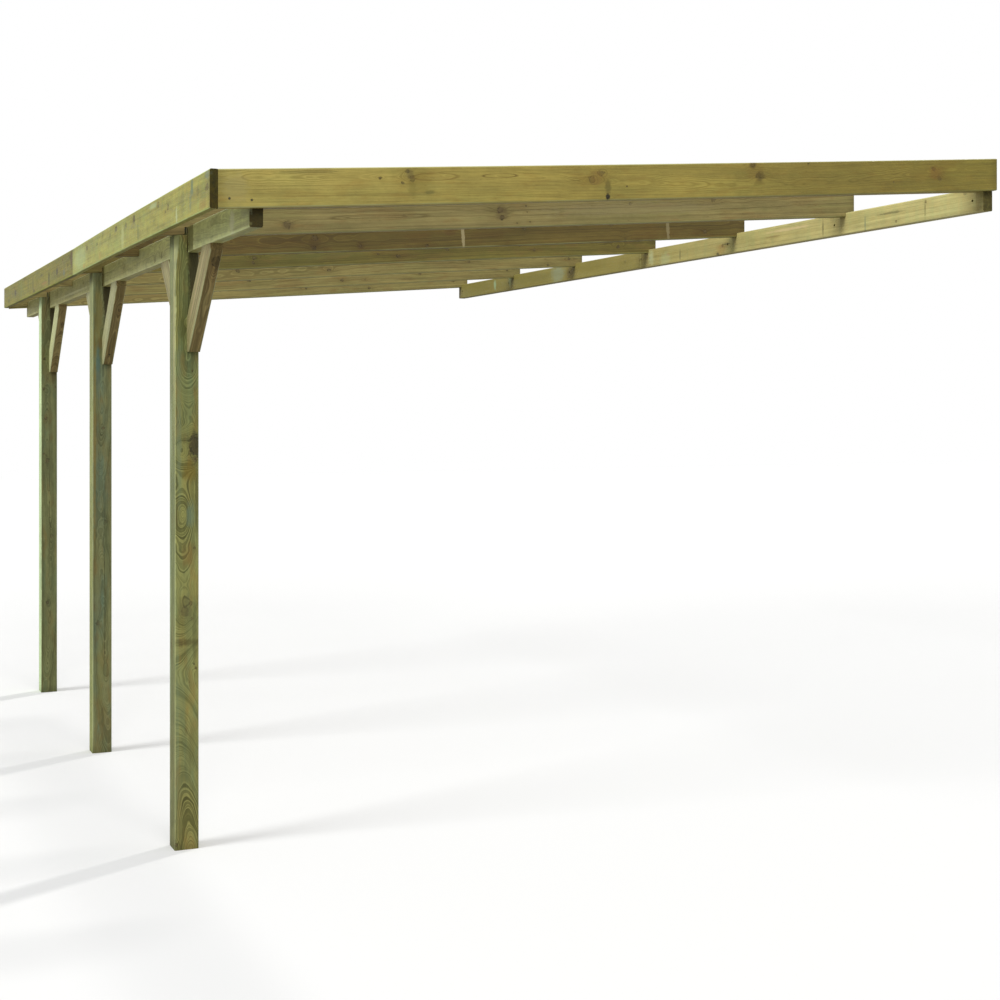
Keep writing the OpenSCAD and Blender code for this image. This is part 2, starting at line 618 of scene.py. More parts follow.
        # Growth rings round the heart, pushed out by the knots: pale early wood, dark late wood
        _, first, second = g.apart(value["Grain"])
        rho = g.plus(g.hypotenuse(first, second), centred(flecks(1.1, 5.0, 1.0, 1.5), value["Bands"]))
        rho = g.plus(rho, centred(flecks(7.0, 30.0), 0.0022))
        rho = g.minus(rho, value["Bulge"])
        pace = g.add("ShaderNodeTexNoise", {"W": g.times(rho, 60.0), "Detail": 1.0}, noise_dimensions="1D")
        years = g.plus(g.over(rho, value["Ring"]), centred(pace.outputs[0], 2.2))
        season = g.math("FRACT", years)
        year = g.math("FLOOR", years)
        strength = g.add("ShaderNodeTexWhiteNoise", {"W": year}, noise_dimensions="1D").outputs[0]
        late = g.times(g.ease(season, 0.2, 0.78), g.ease(season, 1.0, 0.88),
                       g.plus(0.45, g.times(strength, 0.55)))
        half_late = g.times(late, 0.45)
        colour = g.mix(g.times(late, value["Contrast"]), value["Early"], value["Late"])

        # The treatment's green and brown patches
        wisps = g.plus(0.55, g.times(g.ease(flecks(3.5, 60.0, 1.0, 2.0), 0.42, 0.68), 0.45))
        treated = g.times(g.ease(flecks(3.0, 11.0, 1.0, 3.0, 0.6), 0.42, 0.62), wisps, value["Greening"])
        colour = g.mix(treated, colour, g.mix(half_late, value["Green"], value["Late"]))
        rust = g.times(g.ease(flecks(3.6, 13.0, 1.7, 3.0, 0.6), 0.50, 0.66), wisps, value["Browning"])
        colour = g.mix(rust, colour, g.mix(half_late, value["Brown"], value["Late"]))

        # Faces turned to the weather bleach, and rain runs down them; the paler, cooler colour of the faces
        # turned to -Y is partly painted light
        facing_out_lit = g.ease(g.vector("DOT_PRODUCT", value["Normal"], (0, -1, 0)), 0.35, 0.8)
        faded = g.times(late, g.times(value["Contrast"], 0.6))
        bleached = g.mix(faded, value["Weathered"], value["Late"])
        colour = g.mix(g.times(facing_out_lit, value["Weathering"]), colour, bleached)
        rain = g.times(g.ease(flecks(34.0, 5.0, 1.0, 3.0, 0.6), 0.48, 0.62), value["Rain"])
        colour = g.mix(rain, colour, g.mix(rust, value["Green"], value["Late"]))

        # Streaks, fibres, clouds and mottling
        streak = centred(flecks(1.7, 150.0, 1.0, 2.0), value["Streaks"])
        fibre = centred(flecks(16.0, 900.0, 1.0, 1.0), 0.18)
        cloud = centred(flecks(3.0, 14.0, 1.0, 3.0), 0.5)
        mottle = centred(flecks(15.0, 34.0, 1.0, 5.0, 0.75), value["Mottle"])
        colour = g.scaled(colour, g.plus(streak, fibre, cloud, mottle, 1.0))

        # Knots and specks
        colour = g.mix(g.times(value["Stain"], 0.5), colour, paint("ad9150"), "MULTIPLY")
        freckle = g.ease(flecks(45.0, 90.0, 1.0, 2.0), 0.3, 0.7)
        core = g.mix(0.18, g.mix(freckle, paint("352e1c"), paint("71623f")), colour)
        colour = g.mix(g.times(value["Core"], 0.85), colour, core)
        colour = g.mix(g.times(value["Rim"], 0.75), colour, paint("1f1a0e"))
        specks = g.ease(flecks(40.0, 170.0, 1.0, 3.0, 0.7), 0.64, 0.75)
        colour = g.mix(g.times(specks, 0.4), colour, paint("55502c"), "MULTIPLY")

        # Rubbed arrises, paler partly from wear and partly as a painted highlight, and sawn ends
        on_side, on_rise, on_end = (
            g.math("ABSOLUTE", g.vector("DOT_PRODUCT", value["Normal"], value[way]))
            for way in ("Side", "Rise", "Run"))
        arris = g.ease(g.times(on_side, on_rise, 2.0), 0.2, 0.85)
        rubbed_and_highlit = g.ease(flecks(7.0, 20.0, 1.0, 2.0), 0.25, 0.6, 0.35, 1.0)
        colour = g.mix(g.times(arris, rubbed_and_highlit, value["Bleached edge"]), colour, value["Edge"])
        sawn = g.ease(on_end, 0.78, 0.95)
        from_end = g.minus(g.apart(value["Half"])[0], g.math("ABSOLUTE", g.apart(value["Place"])[0]))
        colour = g.mix(g.times(g.ease(from_end, 0.045, 0.0), 0.3), colour, paint("8c8458"), "MULTIPLY")
        blot = g.ease(flecks(30.0, 38.0, 1.0, 3.0, 0.6), 0.35, 0.65, 0.65, 1.3)
        colour = g.mix(g.times(sawn, 0.92), colour, g.scaled(value["Sawn"], blot), "MULTIPLY")

        gloss = g.plus(0.62, g.times(late, -0.10))
        dull = g.plus(gloss, centred(flecks(12.0, 200.0), 0.18), g.times(sawn, 0.25))
        height = g.plus(g.times(late, self.LATE_RELIEF),
                        centred(flecks(16.0, 700.0, 1.0, 2.0), self.FIBRE_RELIEF))
        height = g.minus(height, g.times(value["Rim"], self.RIM_RELIEF))
        height = g.plus(height, g.times(sawn, blot, self.FIBRE_RELIEF))
        for name, source in (("Color", colour), ("Roughness", dull), ("Height", height)):
            g.feed(results[name], source)
        return group

    @staticmethod
    def from_heart(
        g: Graph, place: Any, axes: Axes, wood: Wood, pith: Pith, seed: float
    ) -> bpy.types.NodeSocket:
        """Measures a point from the heart of the tree, which wanders along the timber.

        Args:
            g: the material's graph.
            place: the point, in the timber's own directions.
            axes: the timber's directions.
            wood: the wood, for how its heart ripples.
            pith: the line of the heart.
            seed: sets the ripple.

        Returns:
            The point's place from the heart.
        """
        run = g.apart(place)[0]
        part = g.over(run, axes.half[0])
        curve = g.add("ShaderNodeVectorCurve", {"Vector": g.joined(part, part, part)})
        spots = [axes.on_face(pith.face, at, across, -depth) for at, across, depth in pith.stations]
        for number, line in enumerate(curve.mapping.curves):
            places = {spot[0] / axes.half[0]: spot[number] if number else 0.0 for spot in spots}
            first, last = min(places), max(places)
            line.points[0].location = (-1.0, places[first])
            line.points[1].location = (1.0, places[last])
            for where in sorted(place for place in places if -1.0 < place < 1.0):
                line.points.new(where, places[where])
        curve.mapping.update()
        turns = g.plus(g.times(run, wood.ripple), seed * 3.7)
        ripple = g.add("ShaderNodeTexNoise", {"W": turns, "Detail": 1.0}, noise_dimensions="1D").outputs[1]
        reach = (0, 2 * wood.sway, 2 * wood.sway)
        ripple = g.vector("MULTIPLY", g.vector("SUBTRACT", ripple, (0.5, 0.5, 0.5)), reach)
        return g.vector("SUBTRACT", g.vector("SUBTRACT", place, curve.outputs[0]), ripple)

    @staticmethod
    def tinted(
        g: Graph, colour: bpy.types.NodeSocket, place: Any, axes: Axes, wood: Wood
    ) -> bpy.types.NodeSocket:
        """Changes a colour slowly along the timber, by the wood's three tints.

        Args:
            g: the material's graph.
            colour: the colour.
            place: the point, in the timber's own directions.
            axes: the timber's directions.
            wood: the wood.

        Returns:
            The tinted colour.
        """
        run = g.apart(place)[0]
        low, middle, high = [(*tint, 1.0) for tint in wood.tints]
        tint = g.mix(g.ease(run, -axes.half[0], 0.0), low, middle)
        tint = g.mix(g.ease(run, 0.0, axes.half[0]), tint, high)
        return g.vector("MULTIPLY", colour, tint)

    def finish(self, name: str, axes: Axes, wood: Wood, pith: Pith, knots: Iterable[Knot],
               marks: Iterable[Mark], seed: float) -> bpy.types.Material:
        """Makes one timber's material.

        Args:
            name: the timber's name.
            axes: the timber's directions.
            wood: the wood that it is cut from.
            pith: the line of the tree's heart.
            knots: the timber's knots.
            marks: the stains and bleached patches on its faces.
            seed: a number that sets its patterns apart from the others'.

        Returns:
            The material.
        """
        material = new_material(f"{name} wood")
        g = Graph(material.node_tree)
        source = g.add("ShaderNodeTexCoord")
        place = g.add("ShaderNodeMapping", {
            "Vector": source.outputs["Object"], "Location": -(axes.turn @ axes.middle),
            "Rotation": axes.turn.to_euler()}, vector_type="POINT").outputs[0]
        grain = self.from_heart(g, place, axes, wood, pith, seed)
        sums: dict[str, Any] = dict.fromkeys(self.SUMS, 0.0)
        wobble, breaks = g.noise(place, 85.0, 3.0, 0.6), g.noise(place, 95.0, 1.0)
        uneven = g.noise(g.vector("MULTIPLY", place, (0.45, 1.0, 1.0)), 80.0, 3.0, 0.6)
        for knot in knots:
            values = {"Place": place, "Wobble": wobble, "Breaks": breaks, **axes.spot(knot),
                      **amounts(knot, self.KNOT_AMOUNTS), **{f"{key} in": sums[key] for key in sums}}
            node = g.add("ShaderNodeGroup", values, node_tree=self.knot)
            sums = {key: node.outputs[key] for key in sums}
        paints = {key: paint(code) for key, code in amounts(wood, self.WOOD_COLOURS).items()}
        node = g.add("ShaderNodeGroup", {
            "Place": place, "Grain": grain, "Normal": source.outputs["Normal"], "Run": axes.along,
            "Side": axes.side, "Rise": axes.rise, "Half": axes.half, "Seed": seed,
            **amounts(wood, self.WOOD_AMOUNTS), **sums, **paints}, node_tree=self.wood)
        colour = node.outputs["Color"]
        if wood.tints != (PLAIN, PLAIN, PLAIN):
            colour = self.tinted(g, colour, place, axes, wood)
        for mark in marks:
            values = {"Color in": colour, "Place": place, "Wobble": uneven, "Paint": paint(mark.colour),
                      **axes.spot(mark), **amounts(mark, self.MARK_AMOUNTS)}
            colour = g.add("ShaderNodeGroup", values, node_tree=self.mark).outputs["Color"]
        bump = g.add("ShaderNodeBump", {"Height": node.outputs["Height"], "Strength": 1.0, "Distance": 1.0})
        g.surface({"Base Color": colour, "Roughness": node.outputs["Roughness"],
                   "Normal": bump.outputs[0], "Specular IOR Level": 0.3})
        return material

    @staticmethod
    def split_shade_finish() -> bpy.types.Material:
        """Makes the finish inside a drying split: torn fibre, dark brown as painted shade.

        Returns:
            The material.
        """
        material = new_material("inside of a split, painted shade")
        g = Graph(material.node_tree)
        torn = g.noise(g.add("ShaderNodeTexCoord").outputs["Object"], 160.0, 3.0, 0.6)
        bump = g.add("ShaderNodeBump", {"Height": torn, "Strength": 0.6, "Distance": 0.001})
        # the dark browns are painted shade inside the split
        g.surface({"Base Color": g.mix(g.ease(torn, 0.35, 0.7), paint("2b2413"), paint("5a4d2a")),
                   "Roughness": g.ease(torn, 0.2, 0.8, 0.8, 0.95), "Normal": bump.outputs[0]})
        return material


SHOP = WoodShop()
SPLIT_SHADE_FINISH = SHOP.split_shade_finish()
POST_WOOD = Wood(
    early="9a9c60", late="474a22", green="7b9069", weathered="656e4d", brown="94783e", edge="adb48a",
    ring=0.0039, contrast=0.85, greening=0.7, browning=0.6, weathering=0.75, mottle=0.8, ripple=3.0,
    sway=0.004)
# the beam's pale weathered colour brightens its outer face, which lies in the gutter boards' shadow:
# weathering and painted light
BEAM_WOOD = Wood(
    early="a8a46c", late="6c6638", green="8c9a68", weathered="cdd09c", brown="9a8650", sawn="5c4608",
    edge="cfd3a6", contrast=0.6, greening=0.7, browning=0.5, weathering=0.7, mottle=1.1, rain=0.12,
    bleached_edge=0.85, tints=((0.96, 0.92, 0.80), (0.98, 0.93, 0.80), (1.18, 1.22, 1.12)))
BRACE_WOOD = Wood(
    early="ac9865", late="5f4f26", green="848a58", weathered="8d8a60", contrast=0.75, greening=0.3,
    browning=0.6, weathering=0.7, streaks=1.3)
RAFTER_WOOD = Wood(
    early="9f9258", late="64552a", green="808048", weathered="a4965e", brown="8a6c3c", edge="b0b37a",
    contrast=0.65, greening=0.4, browning=0.45, streaks=0.9, bleached_edge=0.8)
PLATE_WOOD = Wood(
    early="c2b67a", late="8a7636", green="9eaa74", weathered="c4bb84", edge="d6d09c", greening=0.5,
    weathering=0.4, mottle=0.4, streaks=0.6, rain=0.2,
    tints=((0.42, 0.42, 0.30), (0.70, 0.66, 0.52), (0.95, 0.95, 0.89)))
BOARD_WOOD = Wood(
    early="b8a75c", late="80702f", green="9a9a55", weathered="a7a465", brown="a27f3a", edge="c9cc96",
    contrast=0.5, greening=0.4, browning=0.4, weathering=0.5, mottle=0.6, streaks=0.6, bleached_edge=0.7)
GUTTER_WOOD = replace(
    BOARD_WOOD, early="9c934f", late="6f6a33", green="80905c", weathered="97955a", edge="bccf9c",
    sawn="7c7226", ring=0.0038, contrast=0.7, greening=0.55, mottle=1.1, streaks=0.8, rain=0.35,
    bleached_edge=0.85, tints=((0.99, 1.02, 0.78), (0.94, 0.94, 0.66), (0.97, 0.94, 0.62)))


@dataclass
class Timber:
    """One timber: its CAD node, its wood, and what drying, sawing and screwing did to it."""

    node: str
    slot: str
    wood: Wood
    seed: int
    pith: Pith
    knots: list[Knot] = field(default_factory=list)
    marks: list[Mark] = field(default_factory=list)
    splits: list[Split] = field(default_factory=list)
    screws: list[Screw] = field(default_factory=list)
    housings: list[Housing] = field(default_factory=list)
    wane: Wane | None = None
    bow: Vector = field(default_factory=Vector)
    rise_at_low_end: Vector = field(default_factory=Vector)
    stray_knots: int = 3

    MERGE: ClassVar[float] = 1e-5
    ON_CUT: ClassVar[float] = 1e-7
    STEP: ClassVar[float] = 0.12
    SPLIT_STEP: ClassVar[float] = 0.02
    SPLIT_LIPS: ClassVar[float] = 0.003
    SPLIT_END: ClassVar[float] = 0.0008
    SPLIT_STIR: ClassVar[float] = 0.0006
    SPLIT_SEEDS: ClassVar[int] = 17
    WANE_STEP: ClassVar[float] = 0.01
    WANE_LIPS: ClassVar[float] = 0.004
    WANE_STIR: ClassVar[float] = 0.0012
    WANE_LEAST: ClassVar[float] = 0.001
    POCKET_SIDES: ClassVar[int] = 14
    POCKET_LIPS: ClassVar[float] = 0.002
    POCKET_TAPER: ClassVar[float] = 0.86
    POCKET_RADIUS: ClassVar[float] = 0.0048
    POCKET_DEPTH: ClassVar[float] = 0.0022
    STRAY_AT: ClassVar[tuple[float, float]] = (0.06, 0.94)
    STRAY_ACROSS: ClassVar[tuple[float, float]] = (-0.8, 0.8)
    STRAY_RADIUS: ClassVar[tuple[float, float]] = (0.004, 0.010)
    STRAY_TONE: ClassVar[tuple[float, float]] = (0.5, 1.0)
    STRAY_HALO: ClassVar[tuple[float, float]] = (0.1, 0.5)

    def build(self) -> bpy.types.Object:
        """Works the timber up from its CAD form and dresses it.

        Returns:
            The piece that stands for the CAD node.
        """
        mesh = bmesh.new()
        mesh.from_mesh(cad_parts[self.node].data)
        bmesh.ops.remove_doubles(mesh, verts=mesh.verts, dist=self.MERGE)
        self.axes = Axes.of(mesh)
        self.slice_up(mesh)
        piece = self.as_piece(mesh, f"{self.node}_timber")
        knots = self.knots + self.more_knots()
        piece.data.materials.append(SHOP.finish(
            self.node, self.axes, self.wood, self.pith, knots, self.marks, self.seed))
        if self.splits:
            piece.data.materials.append(SPLIT_SHADE_FINISH)
        if self.splits or self.screws or self.housings or self.wane:
            self.carve(piece)
        self.bend(piece)
        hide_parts(self.node)
        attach(piece, BODY)
        return piece

    @staticmethod
    def as_piece(mesh: bmesh.types.BMesh, name: str) -> bpy.types.Object:
        """Makes an object of a mesh and puts it in the scene.

        Args:
            mesh: the mesh, which is used up.
            name: the object's name.

        Returns:
            The object.
        """
        data = bpy.data.meshes.new(name)
        mesh.to_mesh(data)
        mesh.free()
        piece = bpy.data.objects.new(name, data)
        bpy.context.scene.collection.objects.link(piece)
        return piece

    def slice_up(self, mesh: bmesh.types.BMesh) -> None:
        """Cuts the faces into short lengths, so that the timber can bend.

        Args:
            mesh: the timber.
        """
        count = max(2, round(2 * self.axes.half[0] / self.STEP))
        for i in range(1, count):
            place = self.axes.shared(((2 * i / count - 1) * self.axes.half[0], 0, 0))
            geometry = mesh.verts[:] + mesh.edges[:] + mesh.faces[:]
            bmesh.ops.bisect_plane(
                mesh, geom=geometry, dist=self.ON_CUT, plane_co=place, plane_no=self.axes.along)

    def carve(self, piece: bpy.types.Object) -> None:
        """Cuts the splits, pockets, housings and wane out of the timber.

        Args:
            piece: the timber's piece.
        """
        cutter_mesh = bmesh.new()
        for number, split in enumerate(self.splits):
            self.add_split(cutter_mesh, split, self.seed + self.SPLIT_SEEDS * number)
        for face in cutter_mesh.faces:
            face.material_index = 1
        for screw in self.screws:
            self.add_pocket(cutter_mesh, screw)
        for housing in self.housings:
            self.add_housing(cutter_mesh, housing)
        if self.wane:
            self.add_wane(cutter_mesh, self.wane)
        bmesh.ops.recalc_face_normals(cutter_mesh, faces=cutter_mesh.faces)
        cutter = self.as_piece(cutter_mesh, f"{self.node} cutter")
        for material in piece.data.materials:
            cutter.data.materials.append(material)
        cut = piece.modifiers.new("splits", "BOOLEAN")
        cut.operation, cut.solver, cut.object = "DIFFERENCE", "EXACT", cutter
        cut.use_self = True
        piece.data = apply_modifiers(piece)
        data = cutter.data
        bpy.data.objects.remove(cutter)
        bpy.data.meshes.remove(data)

    @staticmethod
    def join_rings(mesh: bmesh.types.BMesh, rings: list[list[bmesh.types.BMVert]]) -> None:
        """Closes a run of rings into one form, with a face at each end.

        Args:
            mesh: the form's mesh.
            rings: rings of corners, all of one length.
        """
        count = len(rings[0])
        for low, high in zip(rings, rings[1:]):
            for i in range(count):
                j = (i + 1) % count
                mesh.faces.new((low[i], low[j], high[j], high[i]))
        mesh.faces.new(rings[0])
        mesh.faces.new(rings[-1][::-1])

    def corner(
        self, mesh: bmesh.types.BMesh, face: Face, at: float, across: float, lift: float
    ) -> bmesh.types.BMVert:
        """Adds a corner to a cutter, by its place on a face of the timber."""
        return mesh.verts.new(self.axes.shared(self.axes.on_face(face, at, across, lift)))

    def add_split(self, mesh: bmesh.types.BMesh, split: Split, seed: int) -> None:
        """Adds the wedge of air that a drying split takes up.

        Args:
            mesh: the cutter.
            split: the split.
            seed: sets how it wanders.
        """
        count = max(6, round((split.end - split.start) / self.SPLIT_STEP))
        rings = []
        for i in range(count + 1):
            part = i / count
            at = split.start + (split.end - split.start) * part
            stir = noise.noise(Vector((at * 6.0, seed * 1.37, 0.0)))
            fine = noise.noise(Vector((at * 40.0, seed * 2.11, 4.0)))
            across = split.across + split.wander * stir + self.SPLIT_STIR * fine
            swell = max(0.0, math.sin(math.pi * part)) ** 0.6
            width = split.width * (0.08 + swell * (0.85 + 0.5 * fine))
            depth = self.SPLIT_END + split.depth * swell
            wide = width / 2 * (1 + self.SPLIT_LIPS / depth)
            corners = ((-wide, self.SPLIT_LIPS), (wide, self.SPLIT_LIPS), (0.0, -depth))
            rings.append([self.corner(mesh, split.face, at, across + over, lift) for over, lift in corners])
        self.join_rings(mesh, rings)

    def add_pocket(self, mesh: bmesh.types.BMesh, screw: Screw) -> None:
        """Adds the round pocket that a countersunk head sits in.

        Args:
            mesh: the cutter.
            screw: the screw.
        """
        rings = []
        foot = self.POCKET_RADIUS * self.POCKET_TAPER
        for lift, radius in ((self.POCKET_LIPS, self.POCKET_RADIUS), (-self.POCKET_DEPTH, foot)):
            ring = []
            for i in range(self.POCKET_SIDES):
                turn = 2 * math.pi * i / self.POCKET_SIDES
                at, across = screw.at + radius * math.cos(turn), screw.across + radius * math.sin(turn)
                ring.append(self.corner(mesh, screw.face, at, across, lift))
            rings.append(ring)
        self.join_rings(mesh, rings)

    def add_housing(self, mesh: bmesh.types.BMesh, housing: Housing) -> None:
        """Adds the box of air of a square-cornered cut.

        Args:
            mesh: the cutter.
            housing: the cut.
        """
        (x0, y0, z0), (x1, y1, z1) = housing.low, housing.high
        self.join_rings(mesh, [
            [mesh.verts.new(corner) for corner in ((x0, y0, z), (x1, y0, z), (x1, y1, z), (x0, y1, z))]
            for z in (z0, z1)])

    def add_wane(self, mesh: bmesh.types.BMesh, wane: Wane) -> None:
        """Adds the sliver that is missing along a waney arris.

        Args:
            mesh: the cutter.
            wane: the arris and its widths.
        """
        (out, way, _, _), (over, turn, _, _) = self.axes.face(wane.first), self.axes.face(wane.second)
        lips = self.WANE_LIPS
        rings = []
        for (start, first), (end, second) in zip(wane.widths, wane.widths[1:]):
            count = max(1, round((end - start) / self.WANE_STEP))
            for i in range(count):
                at = start + (end - start) * i / count
                width = first + (second - first) * i / count
                stir = self.WANE_STIR * noise.noise(Vector((at * 55.0, self.seed, 0.5)))
                width = max(self.WANE_LEAST, width + stir)
                ring = []
                for off_first, off_second in ((lips, -width - lips), (lips, lips), (-width - lips, lips)):
                    point = Vector((at - self.axes.half[0], 0, 0))
                    point[out] = way * (self.axes.half[out] + off_first)
                    point[over] = turn * (self.axes.half[over] + off_second)
                    ring.append(mesh.verts.new(self.axes.shared(point)))
                rings.append(ring)
        self.join_rings(mesh, rings)

    def bend(self, piece: bpy.types.Object) -> None:
        """Bows the timber between its ends, and raises its low end where it was fixed high."""
        for vertex in piece.data.vertices:
            vertex.co += self.bent(self.axes.own(vertex.co)[0] + self.axes.half[0])

    def bent(self, at: float) -> Vector:
        """How far the timber has moved at a distance from its foot, tail or far end."""
        part = at / self.axes.half[0] - 1
        return self.bow * max(0.0, 1 - part * part) + self.rise_at_low_end * (1 - part) / 2

    def more_knots(self) -> list[Knot]:
        """Scatters small knots over the timber's unseen faces, the same ones every time.

        Returns:
            The knots.
        """
        draw = random.Random(self.seed * 101 + 7)
        length = 2 * self.axes.half[0]
        found = []
        for _ in range(self.stray_knots):
            face = draw.choice((Face.INNER, Face.FAR, Face.UPPER))
            _, _, over, _ = self.axes.face(face)
            room = self.axes.half[over]
            at, across = draw.uniform(*self.STRAY_AT) * length, draw.uniform(*self.STRAY_ACROSS) * room
            size = (draw.uniform(*span) for span in (self.STRAY_RADIUS, self.STRAY_TONE, self.STRAY_HALO))
            found.append(Knot(face, at, across, *size))
        return found


def apply_modifiers(piece: bpy.types.Object) -> bpy.types.Mesh:
    """Turns a piece and its live modifiers into a plain mesh.

    Args:
        piece: the piece, which loses its modifiers.

    Returns:
        The new mesh.
    """
    evaluated = piece.evaluated_get(bpy.context.evaluated_depsgraph_get())
    data = bpy.data.meshes.new_from_object(evaluated)
    piece.modifiers.clear()
    return data


@dataclass
class Assembly:
    """A group of timbers of one kind."""

    def timbers(self) -> list[Timber]:
        """The group's timbers."""
        raise NotImplementedError

    def build(self) -> list[Timber]:
        """Builds every timber of the group.

        Returns:
            The timbers, built.
        """
        made = self.timbers()
        for timber in made:
            piece = timber.build()
            LOG.info("%s: %d faces, %d knots, %d marks, %d splits", piece.name, len(piece.data.polygons),
                     len(timber.knots), len(timber.marks), len(timber.splits))
        return made


@dataclass
class Posts(Assembly):
    """The three square posts, half-lapped at their heads."""

    split_width: float = 0.0017
    # colour of the painted shade in the pocket between a post's brace and its cheek
    pocket_painted_shade: str = "37300f"

    def timbers(self) -> list[Timber]:
        """The posts, each with its own knots, stains and splits."""
        return [self.first(), self.second(), self.third()]

    def post(self, number: int, wood: Wood, heart: Pith, knots: list[Knot], marks: list[Mark],
             splits: list[Split], wane: Wane | None = None) -> Timber:
        """A post, with painted shade between its brace and its cheek.

        Args:
            number: which post it is, from the near end.
            wood: its wood.
            heart: the line of the tree's heart.
            knots: its knots.
            marks: its other marks.
            splits: its drying splits.
            wane: its waney arris.

        Returns:
            The post.
        """
        # painted shade: darkens the inner half of the near face under the beam and behind the brace
        pocket = Mark(Face.NEAR, 2.20, 0.027, 0.19, 0.0225, self.pocket_painted_shade, 0.9, 0.25)
        return Timber(
            f"post_{number}", "posts", wood, 10 + number, heart, knots, [pocket, *marks], splits, wane=wane)

    def first(self) -> Timber:
        """The post at the near end: strong, swirling grain and a waney arris at its head.

        Returns:
            The post.
        """
        near, outer = Face.NEAR, Face.OUTER
        wood = replace(POST_WOOD, tints=((0.98, 0.89, 0.78), (1.06, 1.03, 0.90), (1.18, 1.15, 1.0)))
        heart = heart_behind(
            near,
            (0, 14, 40), (120, 6, 52), (240, -10, 68), (360, -28, 90), (500, -40, 120), (660, -50, 150),
            (800, -30, 115), (920, -10, 85), (1000, -10, 80), (1120, -16, 64), (1245, -24, 50),
            (1370, -20, 68), (1490, -26, 48), (1580, -6, 95), (1780, 4, 55), (2000, 4, 52), (2270, 0, 58))
        knots = knots_on(
            near,
            (1500, 35, 22, 1.0, 0.8, 1.6), (1452, 30, 10, 0.9), (1535, 24, 7, 0.8, 0.3),
            (1490, -20, 10, 0.0, 0.1), (1250, -14, 10, 0.0, 0.1), (885, -8, 14, 0.45, 0.7, 1.3),
            (915, 14, 7, 0.7, 0.3), (858, 20, 5, 0.8, 0.3), (673, 34, 5, 0.95, 0.3),
            (688, 27, 3, 0.8, 0.1), (622, 8, 4, 0.35, 0.1), (22, -40, 5, 1.0, 0.2),
            (1780, 20, 4, 0.9, 0.3), (1120, 30, 5, 0.8, 0.3))
        knots += knots_on(outer, (1720, 10, 7, 0.4, 0.3), (750, -15, 8, 0.4, 0.4))
        # the first near-face mark, dark on the inner half from 1.91 m to 2.15 m, is painted shade that
        # carries the pocket's shade down towards the brace's foot
        marks = marks_on(
            near,
            (2030, 24, 120, 16, "453e18", 0.65, 0.9), (2190, -15, 80, 30, "6c6a38", 0.45),
            (1930, -15, 50, 20, "5e6030", 0.5), (1405, 12, 45, 30, "7d6c24", 0.65),
            (1600, -30, 350, 12, "7f9070", 0.4), (450, -36, 400, 8, "87966e", 0.4),
            (1505, 28, 58, 24, "3b3821", 0.7), (1100, 10, 50, 35, "7d6a38", 0.4),
            (770, 0, 18, 50, "4a3f18", 0.6, 0.8), (800, 30, 130, 12, "4f4c24", 0.45),
            (1300, 37, 140, 8, "4d4a24", 0.5), (900, -4, 55, 36, "5f5a38", 0.45),
            (1243, 14, 55, 18, "6f8a74", 0.45), (560, -20, 120, 16, "73805a", 0.35),
            (400, 20, 100, 20, "6d6b3a", 0.35), (1720, -20, 100, 18, "8a8a50", 0.35),
            (180, -30, 160, 10, "8a7a44", 0.35))
        marks += marks_on(
            outer,
            (1950, 30, 300, 14, "b8b27a", 0.5), (900, -36, 700, 8, "9fb795", 0.5),
            (1550, -20, 160, 20, "94a07c", 0.4))
        splits = [Split(near, 1.76, 2.215, 0.004, self.split_width, 0.02, 0.008),
                  Split(Face.INNER, 0.35, 1.45, 0.006, 0.0025, 0.02, 0.008)]
        wane = Wane(near, outer, (
            (1.93, 0.001), (1.964, 0.003), (2.008, 0.006), (2.053, 0.006), (2.093, 0.002), (2.130, 0.004),
            (2.175, 0.007), (2.220, 0.012), (2.264, 0.016), (2.31, 0.019)))
        return self.post(1, wood, heart, knots, marks, splits, wane)

    def second(self) -> Timber:
        """The middle post: darker, with one blue-green stained side.

        Returns:
            The post.
        """
        near = Face.NEAR
        wood = replace(POST_WOOD, early="848557", late="4c4f2c", green="66806c", brown="846c38",
                       weathered="8a9050", contrast=0.75)
        heart = heart_behind(
            near, (0, 30, 60), (600, 10, 30), (1200, -10, 50), (1700, 0, 20), (2270, 10, 50))
        knots = knots_on(near, (1547, 4, 7, 0.9, 0.4), (620, -20, 10, 0.6, 0.6), (1100, 20, 8, 0.8))
        knots += knots_on(Face.OUTER, (1100, 0, 9, 0.4, 0.4))
        marks = marks_on(
            near,
            (1870, -20, 90, 10, "5f7f78"), (1790, -18, 160, 12, "5c7468", 0.45),
            (1500, -35, 600, 8, "8a7434", 0.5), (2100, -16, 140, 22, "857c40", 0.5),
            (1950, -5, 30, 30, "6f5a2c", 0.5), (900, 20, 350, 14, "58623f", 0.4),
            (400, -10, 250, 18, "83834c", 0.35))
        splits = [Split(near, 0.3, 1.2, 0.01, 0.0018, 0.015, 0.006),
                  Split(Face.INNER, 0.9, 1.8, -0.006, 0.002, 0.018, 0.006)]
        return self.post(2, wood, heart, knots, marks, splits)

